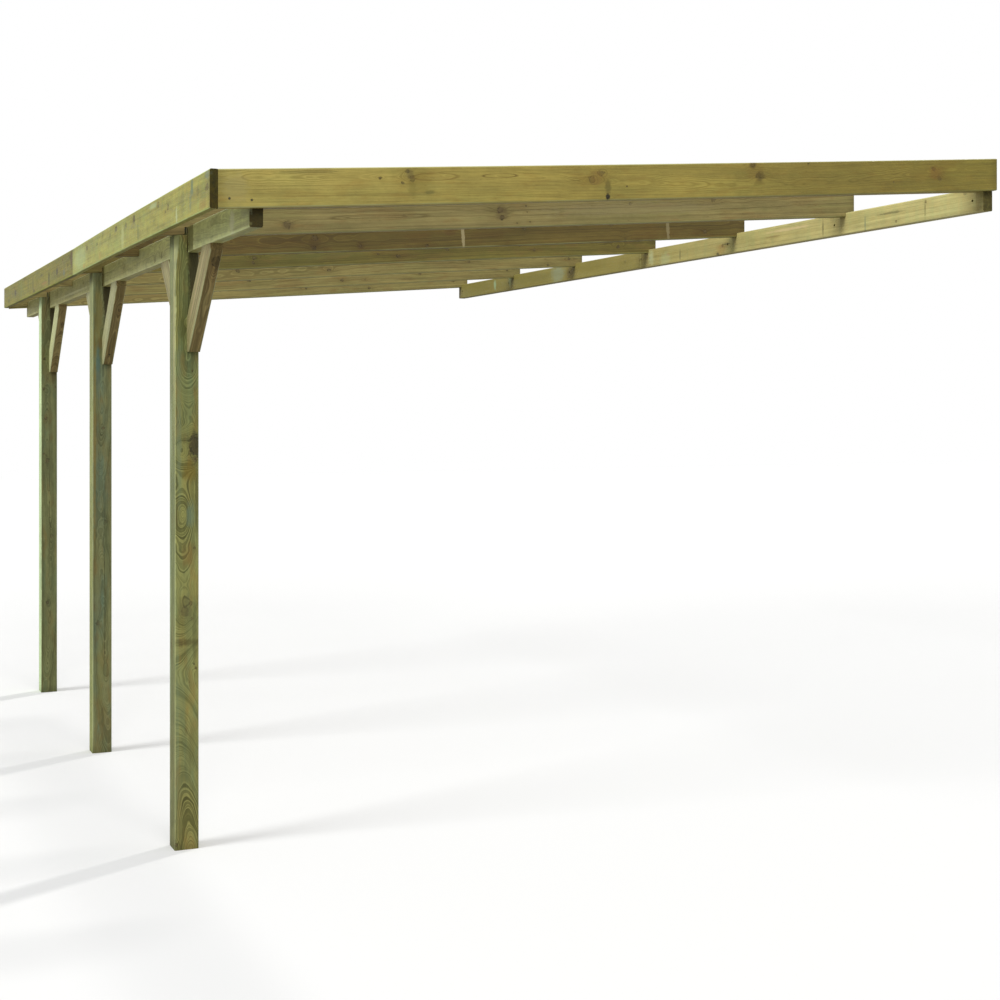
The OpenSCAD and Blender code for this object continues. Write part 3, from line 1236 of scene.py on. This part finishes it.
    def third(self) -> Timber:
        """The post at the far end, with a row of small dark knots.

        Returns:
            The post.
        """
        near = Face.NEAR
        wood = replace(POST_WOOD, early="7d8052", late="484c2a", green="667a58", brown="786636",
                       weathered="d6f0b4", contrast=0.75)
        heart = heart_behind(near, (0, -20, 50), (800, 10, 30), (1400, -10, 20), (2270, 0, 60))
        knots = knots_on(
            near,
            (1926, -23, 7, 1.0, 0.3), (1753, -29, 7, 1.0, 0.3), (1764, 33, 6, 1.0, 0.3),
            (1585, -18, 7, 1.0, 0.3), (1377, -29, 7, 0.9, 0.3), (1336, -12, 11), (900, 15, 9, 0.7),
            (520, -10, 8, 0.8, 0.4))
        marks = marks_on(
            near,
            (1830, 26, 50, 18, "54441c"), (1300, 0, 120, 30, "5c5f3c", 0.4),
            (750, 20, 300, 15, "59603c", 0.4))
        splits = [Split(near, 0.7, 1.5, 0.004, 0.002, 0.015, 0.006),
                  Split(Face.INNER, 0.5, 1.3, 0.008, 0.0022, 0.018, 0.006)]
        return self.post(3, wood, heart, knots, marks, splits)


@dataclass
class Beam(Assembly):
    """The beam over the posts, eased back in front where each post's cheek laps it."""

    easing: float = 0.0045
    easing_lengths: tuple[float, ...] = (0.1025, 0.0575, 0.0295)
    easing_half_width: float = 0.07
    easing_painted_shade: str = "6f6a3c"
    clearance: float = 0.01
    lap_gap: float = 0.0005

    def timbers(self) -> list[Timber]:
        """Eases the beam back at the posts' cheeks.

        Returns:
            The beam.
        """
        outer, inner = Face.OUTER, Face.INNER
        low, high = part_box("beam")
        housings, marks = [], []
        for number, length in enumerate(self.easing_lengths, 1):
            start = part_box(f"post_{number}")[1].x
            housings.append(Housing(
                (start + self.lap_gap, low.y - self.clearance, low.z - self.clearance),
                (start + length, low.y + self.easing, high.z + self.clearance)))
            middle = start + length / 2 - low.x
            # painted shade: darkens the eased recess beside each post's cheek
            marks.append(Mark(
                outer, middle, 0.0, length / 2, self.easing_half_width, self.easing_painted_shade, 0.75, 0.15))
        marks += marks_on(
            outer,
            (5222, -6, 35, 45, "dcdcbc", 0.65), (5400, 10, 80, 20, "a2a684", 0.5),
            (5340, -35, 150, 8, "8f8c58", 0.5), (1900, -18, 500, 7, "dcdcae"),
            (1800, -40, 600, 10, "a89f5c", 0.5), (3550, 20, 300, 20, "a3a684", 0.4))
        knots = knots_on(
            outer,
            (3300, 0, 12, 0.6, 0.6), (5440, 12, 8, 0.3, 0.3), (4100, -20, 10, 0.7, 0.4),
            (1300, 15, 11, 0.7, 0.4))
        knots += knots_on(inner, (2200, 10, 12, 0.8, 0.4))
        heart = heart_behind(outer, (0, 20, 70), (2000, 50, 30), (4000, 20, 80), (5500, 30, 50))
        splits = [Split(outer, 2.2, 3.1, 0.006, 0.0018, 0.012, 0.004),
                  Split(inner, 0.9, 2.3, -0.008, 0.0022, 0.014, 0.005),
                  Split(inner, 3.6, 4.6, 0.012, 0.002, 0.012, 0.005)]
        return [Timber("beam", "beam", BEAM_WOOD, 21, heart, knots, marks, splits, housings=housings,
                       stray_knots=4)]


@dataclass
class KneeBraces(Assembly):
    """The knee braces, one either side of each post."""

    # the braces' weathered colours for their faces turned to -Y, per post: partly weathering, partly
    # painted light
    bleached: tuple[str, ...] = ("88855d", "a0a67e", "bcc592")

    def timbers(self) -> list[Timber]:
        """The braces, two to a post."""
        return [self.brace(number, letter, replace(BRACE_WOOD, weathered=code))
                for number, code in enumerate(self.bleached, 1) for letter in "ab"]

    def brace(self, number: int, letter: str, wood: Wood) -> Timber:
        """One brace.

        Args:
            number: its post's number.
            letter: a for the near side of the post, b for the far side.
            wood: its wood.

        Returns:
            The brace.
        """
        under, outer = Face.UNDER, Face.OUTER
        seed = 30 + 2 * number + "ab".index(letter)
        draw = random.Random(seed)
        low, high = draw.uniform(-0.02, 0.02), draw.uniform(-0.04, 0.04)
        heart = Pith(outer, ((0.0, low, 0.02), (0.5, high, 0.035)))
        knots = [Knot(under, draw.uniform(0.15, 0.4), draw.uniform(-0.012, 0.012), 0.008, 0.8, 0.6)]
        marks = marks_on(under, (470, 0, 50, 30, "6b5c2c", 0.4))
        if (number, letter) == (1, "a"):
            knots = knots_on(under, (455, 4, 15, 1.0, 0.8, 1.4))
            marks += marks_on(under, (440, 12, 35, 9, "4a3f22"), (330, -14, 120, 6, "5a4c26", 0.5))
            marks += marks_on(outer, (250, 12, 220, 7, "b39a76", 0.5), (300, -22, 250, 5, "6b4f2a", 0.45))
        splits = [Split(outer, 0.14, 0.34, draw.uniform(-0.03, 0.03), 0.0010, 0.01)]
        screws = [Screw(under, 0.08, 0.0)] if number == 2 else []
        return Timber(
            f"brace_{number}{letter}", "braces", wood, seed, heart, knots, marks, splits, screws,
            stray_knots=1)


@dataclass
class Rafters(Assembly):
    """The seven rafters, notched over the beam and let into the wall plate."""

    count: int = 7
    loose: tuple[int, ...] = (2, 6)
    gap: float = 0.0075
    side_room: float = 0.01
    low_room: float = 0.03
    lap: float = 0.004
    sag: float = 0.004

    WOODS: ClassVar[dict[int, Wood]] = {
        2: replace(RAFTER_WOOD, early="9a8d58", late="66562e"),
        3: replace(RAFTER_WOOD, early="73632f", late="473718", green="5e592a", brown="664a22"),
        4: replace(RAFTER_WOOD, early="7d7236", late="4b4119", green="66682e", greening=0.55)}
    KNOTS: ClassVar[dict[int, list[Knot]]] = {
        2: knots_on(
            Face.NEAR,
            (497, -27, 12), (1392, 9, 11), (1398, -23, 9), (1509, 23, 3), (1512, -2, 3), (1522, -43, 3),
            (1464, -45, 3), (2400, 30, 9)),
        3: knots_on(
            Face.NEAR,
            (890, 0, 10), (882, -44, 8), (1098, -42, 6), (1421, -53, 7), (1916, 16, 9), (2903, -31, 9)),
        4: knots_on(
            Face.NEAR,
            (854, -9, 9), (847, -33, 7), (1613, -26, 8), (1505, -11, 6), (1888, 1, 9), (2308, 9, 8),
            (2389, -21, 7), (2898, -21, 9)),
        5: knots_on(Face.NEAR, (1005, -7, 10), (1529, -22, 9), (2903, -45, 7), (3046, -14, 7)),
        6: knots_on(Face.NEAR, (1307, -2, 12), (1902, -27, 9), (1938, 3, 8), (2428, -10, 8), (3040, -8, 7)),
        7: knots_on(Face.NEAR, (1901, -7, 10), (1942, -16, 7), (2394, -35, 8), (3024, -13, 8))}
    MARKS: ClassVar[dict[int, list[Mark]]] = {
        2: marks_on(
            Face.NEAR,
            (876, -6, 210, 12, "57481f", 0.55, 0.15, 1.0), (860, -6, 130, 6.5, "57481f", 0.5, 0.15, 1.0),
            (1550, -4, 130, 11, "57481f", 0.4, 0.15, 1.0), (500, -27, 30, 22, "6d5f3a", 0.5),
            (1400, -6, 35, 34, "5d4c2c", 0.5), (2000, 0, 500, 30, "9c8f68", 0.3)),
        3: marks_on(
            Face.NEAR,
            (1602, 0, 8, 90, "c0b287", 0.6, 0.3), (1539, 8, 40, 20, "5f4424", 0.5),
            (2692, 0, 9, 80, "a89c74", 0.5, 0.3), (885, -20, 30, 35, "4d3a1c", 0.5),
            (1100, -40, 20, 20, "4d3a1c", 0.5)),
        4: marks_on(Face.NEAR, (1200, 0, 250, 30, "6a6a3c", 0.35))}

    def timbers(self) -> list[Timber]:
        """The rafters, numbered from the near end."""
        return [self.rafter(number) for number in range(1, self.count + 1)]

    def rafter(self, number: int) -> Timber:
        """One rafter.

        Args:
            number: its number, from the near end.

        Returns:
            The rafter.
        """
        seed = 50 + number
        draw = random.Random(seed)
        heart = Pith(Face.NEAR, tuple(
            (at, draw.uniform(-0.04, 0.04), draw.uniform(0.02, 0.07)) for at in (0.0, 1.0, 2.1, 3.12)))
        if number == 2:
            heart = heart_behind(Face.NEAR, (0, 50, 60), (900, 60, 50), (2000, 50, 50), (3100, 60, 60))
        splits = [Split(Face.FAR, 2.4, 2.95, draw.uniform(-0.02, 0.02), 0.002, 0.012)]
        rise = -self.sag if number == 3 else draw.uniform(-0.002, 0.001)
        housings = [self.loose_notch(number)] if number in self.loose else []
        return Timber(
            f"rafter_{number}", "rafters", self.WOODS.get(number, RAFTER_WOOD), seed, heart,
            self.KNOTS.get(number, []), self.MARKS.get(number, []), splits, housings=housings,
            bow=Vector((0, 0, rise)), stray_knots=2)

    def loose_notch(self, number: int) -> Housing:
        """The room in front of the beam in a rafter whose notch was cut too long.

        Args:
            number: the rafter's number.

        Returns:
            The cut.
        """
        low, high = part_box(f"rafter_{number}")
        beam_low, beam_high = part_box("beam")
        return Housing(
            (low.x - self.side_room, beam_low.y - self.gap, beam_low.z - self.low_room),
            (high.x + self.side_room, beam_low.y + self.lap, beam_high.z))


@dataclass
class WallPlate(Assembly):
    """The plate that is bolted to the wall."""

    def timbers(self) -> list[Timber]:
        """The wall plate, whose far half is darker.

        Returns:
            The wall plate.
        """
        outer = Face.OUTER
        knots = knots_on(
            outer,
            (3510, -4, 8, 0.9), (3460, -44, 9, 0.8, 0.6), (1771, -5, 12, 0.9, 0.6),
            (914, 16, 10, 0.8, 0.6), (5338, 36, 10, 0.7, 0.4), (5095, 30, 6, 0.9, 0.3),
            (4440, 30, 12, 0.2, 0.4), (4900, -30, 6, 0.8, 0.3), (2473, 2, 9, 0.8), (2648, 0, 8, 0.8),
            (2762, 0, 6, 0.8, 0.4))
        marks = marks_on(
            outer,
            (500, 0, 1930, 600, "706524", 0.62, -0.09, 0.0, 0.02), (4860, 10, 110, 6, "4d4a2c"),
            (5091, 0, 5, 45, "6d5f34"), (4686, -18, 6, 40, "66745f"), (4373, 0, 8, 45, "57532f"),
            (3958, -3, 70, 6, "7d6a3c", 0.5), (3544, 2, 50, 6, "3c3822"), (3468, -41, 14, 10, "3c3822"),
            (3087, -10, 7, 35, "4c482e"), (2960, 0, 20, 12, "94704a", 0.5),
            (2775, 4, 35, 50, "b2b98e", 0.5, 0.8), (2655, 0, 6, 60, "a39a58"),
            (2930, -20, 60, 40, "a3ad80", 0.35), (882, 12, 30, 40, "7f9a78", 0.35),
            (4100, 20, 200, 8, "d0b98a", 0.5), (635, 3, 22, 36, "8fb08c", 0.5),
            (1600, 0, 110, 60, "84927c", 0.45), (1771, -5, 50, 40, "5a4c28", 0.5),
            (3500, -20, 50, 30, "a07c40", 0.4), (1200, 0, 500, 30, "6f6a38", 0.35))
        heart = heart_behind(outer, (0, 20, 50), (2600, 60, 20), (4500, 50, 30), (5500, 70, 20))
        splits = [Split(Face.INNER, 2.9, 3.5, -0.01, 0.0014, 0.01)]
        return [Timber("wall_plate", "plate", PLATE_WOOD, 71, heart, knots, marks, splits, stray_knots=2)]


@dataclass
class EdgeBoards(Assembly):
    """The two gutter boards and the two side boards that close the roof's edge."""

    gutter_crown: float = 0.004
    gutter_lift: float = 0.005
    side_sag: float = 0.003

    def timbers(self) -> list[Timber]:
        """The gutter boards and the side boards."""
        return [self.first_gutter(), self.second_gutter(), *self.sides()]

    def first_gutter(self) -> Timber:
        """The gutter board on the near side.

        Returns:
            The board.
        """
        outer = Face.OUTER
        knots = knots_on(
            outer,
            (1514, 38, 14, 1.0, 0.4, 1.7), (1132, 40, 11, 0.95, 0.4, 1.7), (995, 25, 8.8, 0.5, 0.3, 1.7),
            (1349, 33, 8.8, 0.5, 0.3, 1.7), (416, 29, 11, 0.6, 0.6, 1.7), (679, 21, 7.5, 0.8, 0.2, 1.7),
            (2713, 8, 11, 0.9, 0.4, 1.7), (2132, 13, 10, 0.7, 0.4, 1.7), (1962, 40, 10, 0.7, 0.4, 1.7),
            (2589, 8, 10, 0.4, 0.5, 1.7))
        marks = marks_on(
            outer,
            (2503, 32, 21, 35, "4f6a58", 0.65), (2269, -34, 14, 34, "b4c098", 0.5),
            (2480, -12, 18, 40, "5e7058", 0.5), (2360, 0, 30, 50, "6d6a34", 0.4),
            (1874, 46, 75, 12, "a9b98c", 0.5), (1593, -20, 18, 45, "4c5a34", 0.5),
            (1275, -11, 35, 60, "b3bc86", 0.4), (754, -37, 30, 20, "9c7c34", 0.5),
            (1514, 38, 22, 16, "4b4624"), (1132, 40, 20, 14, "4b4624"), (416, 29, 30, 12, "56502a"),
            (1349, 33, 18, 12, "5a542c", 0.5), (221, 1, 200, 60, "a5b586", 0.35),
            (334, -46, 18, 12, "a8762e", 0.7), (2715, 46, 33, 20, "66756a", 0.55),
            (2659, -40, 60, 20, "8a662c", 0.45))
        heart = heart_behind(outer, (0, 0, 50), (1000, 30, 20), (1900, -10, 15), (2750, 0, 40))
        return Timber("gutter_board_1", "boards", GUTTER_WOOD, 81, heart, knots, marks,
                      bow=Vector((0, 0, self.gutter_crown)))

    def second_gutter(self) -> Timber:
        """The gutter board on the far side: darker, and fixed a little high at its far end.

        Returns:
            The board.
        """
        outer = Face.OUTER
        wood = replace(
            GUTTER_WOOD, early="8c854a", late="5f5b2c", green="727f4e", weathered="878450", edge="b4c68e",
            sawn="5c4e2a", contrast=0.8, mottle=1.2, streaks=0.9, rain=0.4,
            tints=((0.76, 0.71, 0.28), (0.77, 0.72, 0.26), (0.72, 0.68, 0.24)))
        knots = knots_on(
            outer,
            (2255, -7, 13, 0.9, 0.4, 2.2), (573, 0, 13, 0.9, 0.4, 2.2), (1013, 51, 7.5, 0.9, 0.3, 2.2),
            (2613, -2, 7.5, 0.8, 0.3, 2.2), (2675, 31, 7.5, 0.8, 0.3, 2.2))
        marks = marks_on(
            outer,
            (1974, -18, 28.8, 40, "35321a", 0.85), (2260, -4, 35, 22, "3d3a1e", 0.7),
            (575, 0, 50, 22, "3d3a1e", 0.7), (250, -30, 50, 16, "4a4420"), (1700, 20, 60, 8, "4a4522"),
            (1800, -30, 120, 10, "8a5a30", 0.45), (1150, 0, 30, 50, "4d4a26", 0.45),
            (850, 0, 50, 60, "6c7a48", 0.35), (1938, 54, 28.8, 12, "55512e", 0.5),
            (2486, -30, 28.8, 20, "5c6c64"), (1397, -44, 33.6, 14, "3a3620", 0.7),
            (1356, 3, 24, 50, "4a4726"), (2735, 20, 72, 50, "4f3c1c", 0.75))
        heart = heart_behind(outer, (0, 20, 30), (1400, -30, 50), (2750, 10, 20))
        return Timber("gutter_board_2", "boards", wood, 84, heart, knots, marks,
                      rise_at_low_end=Vector((0, 0, self.gutter_lift)))

    def sides(self) -> list[Timber]:
        """The two side boards; the far one is finished from the near one.

        Returns:
            The near board and the far board.
        """
        near, far = Face.NEAR, Face.FAR
        # the tints darken the side boards towards the wall end: painted shade for light that falls off
        # there
        wood = replace(BOARD_WOOD, tints=((1.02, 1.02, 0.95), (0.86, 0.84, 0.69), (0.66, 0.63, 0.42)))
        knots = knots_on(
            near,
            (647, 46, 7, 0.8), (664, 20, 9, 0.85, 0.7), (628, 7, 5, 0.9, 0.3), (548, 25, 4, 1.0, 0.2),
            (1333, 6, 11, 0.75), (1372, 30, 10, 0.8, 0.4), (1391, -54, 6, 1.0, 0.2),
            (1470, -18, 3, 1.0, 0.1), (2000, 52, 9, 0.7, 0.4), (2022, 12, 11, 0.8),
            (2826, 25, 8, 0.7, 0.4), (2850, -10, 8, 0.6), (2630, -21, 3, 1.0, 0.1))
        marks = marks_on(
            near,
            (2350, 0, 500, 200, "736731", 0.35, 0.9), (690, 15, 50, 45, "8c7a34", 0.4),
            (1350, 10, 60, 30, "8c742f", 0.35), (2000, 50, 18, 14, "4c4420"),
            (2030, 10, 22, 20, "4c4420"), (1391, -52, 9, 11, "15130c", 0.85, 0.4),
            (1340, 6, 18, 17, "5a4c28", 0.6, 0.3, 1.0), (1378, 30, 18, 15, "5a4c28", 0.6, 0.3, 1.0),
            (2835, 25, 14, 13, "5a4c28", 0.6, 0.3, 1.0), (2853, -8, 12, 14, "5a4c28", 0.6, 0.3, 1.0),
            (2830, 10, 30, 30, "8a5f2c", 0.35), (1350, 15, 30, 30, "8f6f38", 0.35),
            (1395, -20, 14, 30, "4f4820", 0.5), (655, 35, 16, 20, "5c5130", 0.5),
            (660, -10, 20, 30, "7a7030", 0.4), (2010, 30, 50, 40, "84692c", 0.3),
            (2840, 10, 50, 35, "7a5f28", 0.35), (982, 26, 66, 7.5, "5f4a1c", 0.75, 0.15, 1.0),
            (745, 26, 85, 13, "6b5420", 0.5, 0.15, 1.0), (720, -25, 22, 8, "5c5a2c", 0.5),
            (300, 48, 120, 6, "7a7038", 0.5), (60, 0, 50, 60, "a9a06a", 0.35))
        heart = heart_behind(
            near, (0, 35, 30), (500, 30, 20), (982, 25, 3), (1400, 0, 20), (2200, -20, 30), (3100, 30, 20))
        screws = [Screw(near, 0.039, -0.032), Screw(near, 0.111, -0.038)]
        bow = Vector((0, 0, -self.side_sag))
        first = Timber("side_board_1", "boards", wood, 82, heart, knots, marks, screws=screws, bow=bow,
                       stray_knots=1)
        knots = knots_on(far, (700, 20, 10, 0.8), (1900, -30, 9, 0.7)) + knots_on(near, (1200, 20, 10, 0.8))
        second = Timber("side_board_2", "boards", wood, 83, replace(heart, face=far), knots,
                        screws=[replace(screw, face=far) for screw in screws], bow=bow)
        return [first, second]


@dataclass
class Screws:
    """The screws of the whole frame, set with Geometry Nodes."""

    head: float = 0.0070
    sink: float = 0.0006
    sides: int = 16
    taper: float = 0.9
    bar_length: float = 1.1
    bar_width: float = 0.26
    bar_lift: float = 0.95

    def build(self, timbers: Iterable[Timber]) -> bpy.types.Object:
        """Sets a head in every pocket.

        Args:
            timbers: the timbers, built.

        Returns:
            The screws, as one piece.
        """
        places, aims = [], []
        for timber in timbers:
            for screw in timber.screws:
                spot = timber.axes.on_face(screw.face, screw.at, screw.across, -Timber.POCKET_DEPTH)
                out = timber.axes.on_face(screw.face, screw.at, screw.across, 1.0) - spot
                places.append(timber.axes.shared(spot) + timber.bent(screw.at))
                aims.append((timber.axes.turn.transposed() @ out).normalized())
        data = bpy.data.meshes.new("screw places")
        data.from_pydata(places, [], [])
        aim = data.attributes.new("aim", "FLOAT_VECTOR", "POINT")
        aim.data.foreach_set("vector", [number for vector in aims for number in vector])
        piece = bpy.data.objects.new("screws", data)
        bpy.context.scene.collection.objects.link(piece)
        modifier = piece.modifiers.new("screws", "NODES")
        modifier.node_group = self.tree()
        sizes = {"Head": self.head, "Thickness": Timber.POCKET_DEPTH - self.sink}
        for item in modifier.node_group.interface.items_tree:
            if item.name in sizes:
                modifier[item.identifier] = sizes[item.name]
        piece.data = apply_modifiers(piece)
        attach(piece, BODY)
        LOG.info("screws: %d heads", len(places))
        return piece

    def tree(self) -> bpy.types.NodeTree:
        """Builds the node tree that turns each point into a screw head with a cross recess.

        Returns:
            The tree.
        """
        tree = bpy.data.node_groups.new("countersunk screws", "GeometryNodeTree")
        face = tree.interface
        face.new_socket("Places", in_out="INPUT", socket_type="NodeSocketGeometry")
        for name, value in (("Head", self.head), ("Thickness", Timber.POCKET_DEPTH - self.sink)):
            face.new_socket(name, in_out="INPUT", socket_type="NodeSocketFloat").default_value = value
        face.new_socket("Screws", in_out="OUTPUT", socket_type="NodeSocketGeometry")
        g = Graph(tree)
        start, end = g.add("NodeGroupInput"), g.add("NodeGroupOutput")
        thickness = start.outputs["Thickness"]
        radius = g.times(start.outputs["Head"], 0.5)
        head = g.add("GeometryNodeMeshCone", {
            "Vertices": self.sides, "Radius Top": g.times(radius, self.taper), "Radius Bottom": radius,
            "Depth": thickness})
        recess = g.add(
            "GeometryNodeMeshBoolean", {0: head.outputs[0]}, operation="DIFFERENCE", solver="EXACT")
        long_side, short_side = g.times(radius, self.bar_length), g.times(radius, self.bar_width)
        lift = g.joined(0.0, 0.0, g.times(thickness, self.bar_lift))
        for first, second in ((long_side, short_side), (short_side, long_side)):
            bar = g.add("GeometryNodeMeshCube", {"Size": g.joined(first, second, thickness)}).outputs[0]
            bar = g.add("GeometryNodeTransform", {"Geometry": bar, "Translation": lift}).outputs[0]
            g.feed(recess.inputs[1], bar)
        aim = g.add("GeometryNodeInputNamedAttribute", {"Name": "aim"}, data_type="FLOAT_VECTOR").outputs[0]
        turned = g.add("FunctionNodeAlignRotationToVector", {"Vector": aim}, axis="Z").outputs[0]
        dots = g.add("GeometryNodeMeshToPoints", {"Mesh": start.outputs["Places"]}).outputs[0]
        placed = g.add("GeometryNodeInstanceOnPoints", {
            "Points": dots, "Instance": recess.outputs[0], "Rotation": turned}).outputs[0]
        real = g.add("GeometryNodeRealizeInstances", {0: placed}).outputs[0]
        dressed = g.add("GeometryNodeSetMaterial", {"Geometry": real, "Material": self.steel()}).outputs[0]
        g.feed(end.inputs[0], dressed)
        return tree

    def steel(self) -> bpy.types.Material:
        """The dull, green-coated steel of the screws.

        Returns:
            The material.
        """
        material = new_material("coated screw steel")
        g = Graph(material.node_tree)
        place = g.add("ShaderNodeTexCoord").outputs["Object"]
        grime = g.noise(place, 420.0, 3.0, 0.6)
        g.surface({"Base Color": g.mix(g.ease(grime, 0.35, 0.7), paint("6d6a52"), paint("37341f")),
                   "Metallic": 0.7, "Roughness": g.ease(grime, 0.2, 0.8, 0.42, 0.7)})
        return material


@dataclass(frozen=True)
class Lamp:
    """A wide, even lamp: the way its light goes, its level, its width in degrees and its tint.

    At a level of 1, a face turned straight to it shows its colour as written.
    """

    name: str
    towards: tuple[float, float, float]
    level: float
    softness: float
    tint: Tint


@dataclass
class Studio:
    """The camera, the pale floor and the soft light."""

    lens: float = 56.78
    sensor: float = 36.0
    stand: tuple[float, float, float] = (7.659, -4.325, -0.831)
    heading: float = 66.11
    frame_drop: float = -0.0914
    reach: float = 200.0
    floor_span: float = 60.0
    floor_seen: RGBA = (0.78, 0.775, 0.77, 1.0)
    floor_cast: RGBA = (0.33, 0.32, 0.29, 1.0)
    floor_glow: float = 0.05
    sky: RGBA = (0.98, 0.99, 1.0, 1.0)
    sky_level: float = 0.45
    lamps: tuple[Lamp, ...] = (
        Lamp("front lamp", (-0.12, 0.90, -0.42), 0.82, 24.0, (0.98, 1.0, 1.0)),
        Lamp("end lamp", (-0.77, 0.03, -0.64), 0.32, 30.0, PLAIN),
        Lamp("back lamp", (0.36, -0.66, -0.50), 0.45, 4.0, (1.0, 0.99, 0.96)))

    WHITE: ClassVar[RGBA] = (1.0, 1.0, 1.0, 1.0)

    def build(self) -> None:
        """Sets the studio up."""
        self.set_camera()
        self.lay_floor()
        for lamp in self.lamps:
            self.hang(lamp)
        self.light_world()
        bpy.context.scene.view_settings.view_transform = "Standard"

    def set_camera(self) -> None:
        """Stands the camera level at a person's eye height, off the near corner."""
        data = bpy.data.cameras.new("camera")
        data.lens, data.sensor_width, data.shift_y = self.lens, self.sensor, self.frame_drop
        data.clip_end = self.reach
        camera = bpy.data.objects.new("camera", data)
        camera.location = self.stand
        camera.rotation_euler = (math.radians(90), 0, math.radians(self.heading))
        bpy.context.scene.collection.objects.link(camera)
        bpy.context.scene.camera = camera

    def lay_floor(self) -> None:
        """Lays a plain pale floor at the posts' feet."""
        mesh = bmesh.new()
        bmesh.ops.create_grid(mesh, x_segments=1, y_segments=1, size=self.floor_span / 2)
        bmesh.ops.translate(mesh, verts=mesh.verts, vec=(0, 0, cad_low.z))
        floor = Timber.as_piece(mesh, "floor")
        material = new_material("pale floor")
        g = Graph(material.node_tree)
        seen = g.add("ShaderNodeLightPath").outputs["Is Camera Ray"]
        pale = g.add("ShaderNodeBsdfDiffuse", {"Color": self.floor_seen}).outputs[0]
        glow = g.add("ShaderNodeEmission", {"Color": self.WHITE, "Strength": self.floor_glow}).outputs[0]
        shown = g.add("ShaderNodeAddShader", {0: pale, 1: glow}).outputs[0]
        dim = g.add("ShaderNodeBsdfDiffuse", {"Color": self.floor_cast}).outputs[0]
        surface = g.add("ShaderNodeMixShader", {0: seen, 1: dim, 2: shown}).outputs[0]
        g.add("ShaderNodeOutputMaterial", {"Surface": surface})
        floor.data.materials.append(material)

    @staticmethod
    def hang(lamp: Lamp) -> None:
        """Hangs one lamp.

        Args:
            lamp: the lamp.
        """
        data = bpy.data.lights.new(lamp.name, "SUN")
        data.energy, data.angle, data.color = lamp.level * math.pi, math.radians(lamp.softness), lamp.tint
        hung = bpy.data.objects.new(lamp.name, data)
        hung.rotation_mode = "QUATERNION"
        hung.rotation_quaternion = Vector(lamp.towards).to_track_quat("-Z", "Y")
        bpy.context.scene.collection.objects.link(hung)

    def light_world(self) -> None:
        """Lights everything evenly from the sky, and shows white behind the object."""
        world = bpy.data.worlds.new("studio")
        world.use_nodes = True
        world.node_tree.nodes.clear()
        g = Graph(world.node_tree)
        path = g.add("ShaderNodeLightPath")
        seen = g.math("MAXIMUM", path.outputs["Is Camera Ray"], path.outputs["Is Glossy Ray"])
        seen = g.math("MAXIMUM", seen, path.outputs["Is Transmission Ray"])
        soft = g.add("ShaderNodeBackground", {"Color": self.sky, "Strength": self.sky_level}).outputs[0]
        white = g.add("ShaderNodeBackground", {"Color": self.WHITE, "Strength": 1.0}).outputs[0]
        surface = g.add("ShaderNodeMixShader", {0: seen, 1: soft, 2: white}).outputs[0]
        g.add("ShaderNodeOutputWorld", {"Surface": surface})
        bpy.context.scene.world = world


def main() -> None:
    """Builds the pergola and its studio."""
    logging.basicConfig(level=logging.INFO, format="%(name)s: %(message)s", stream=sys.stdout)
    Studio().build()
    timbers: list[Timber] = []
    for assembly in (Posts(), Beam(), KneeBraces(), Rafters(), WallPlate(), EdgeBoards()):
        timbers += assembly.build()
    Screws().build(timbers)


if __name__ == "__main__":
    main()
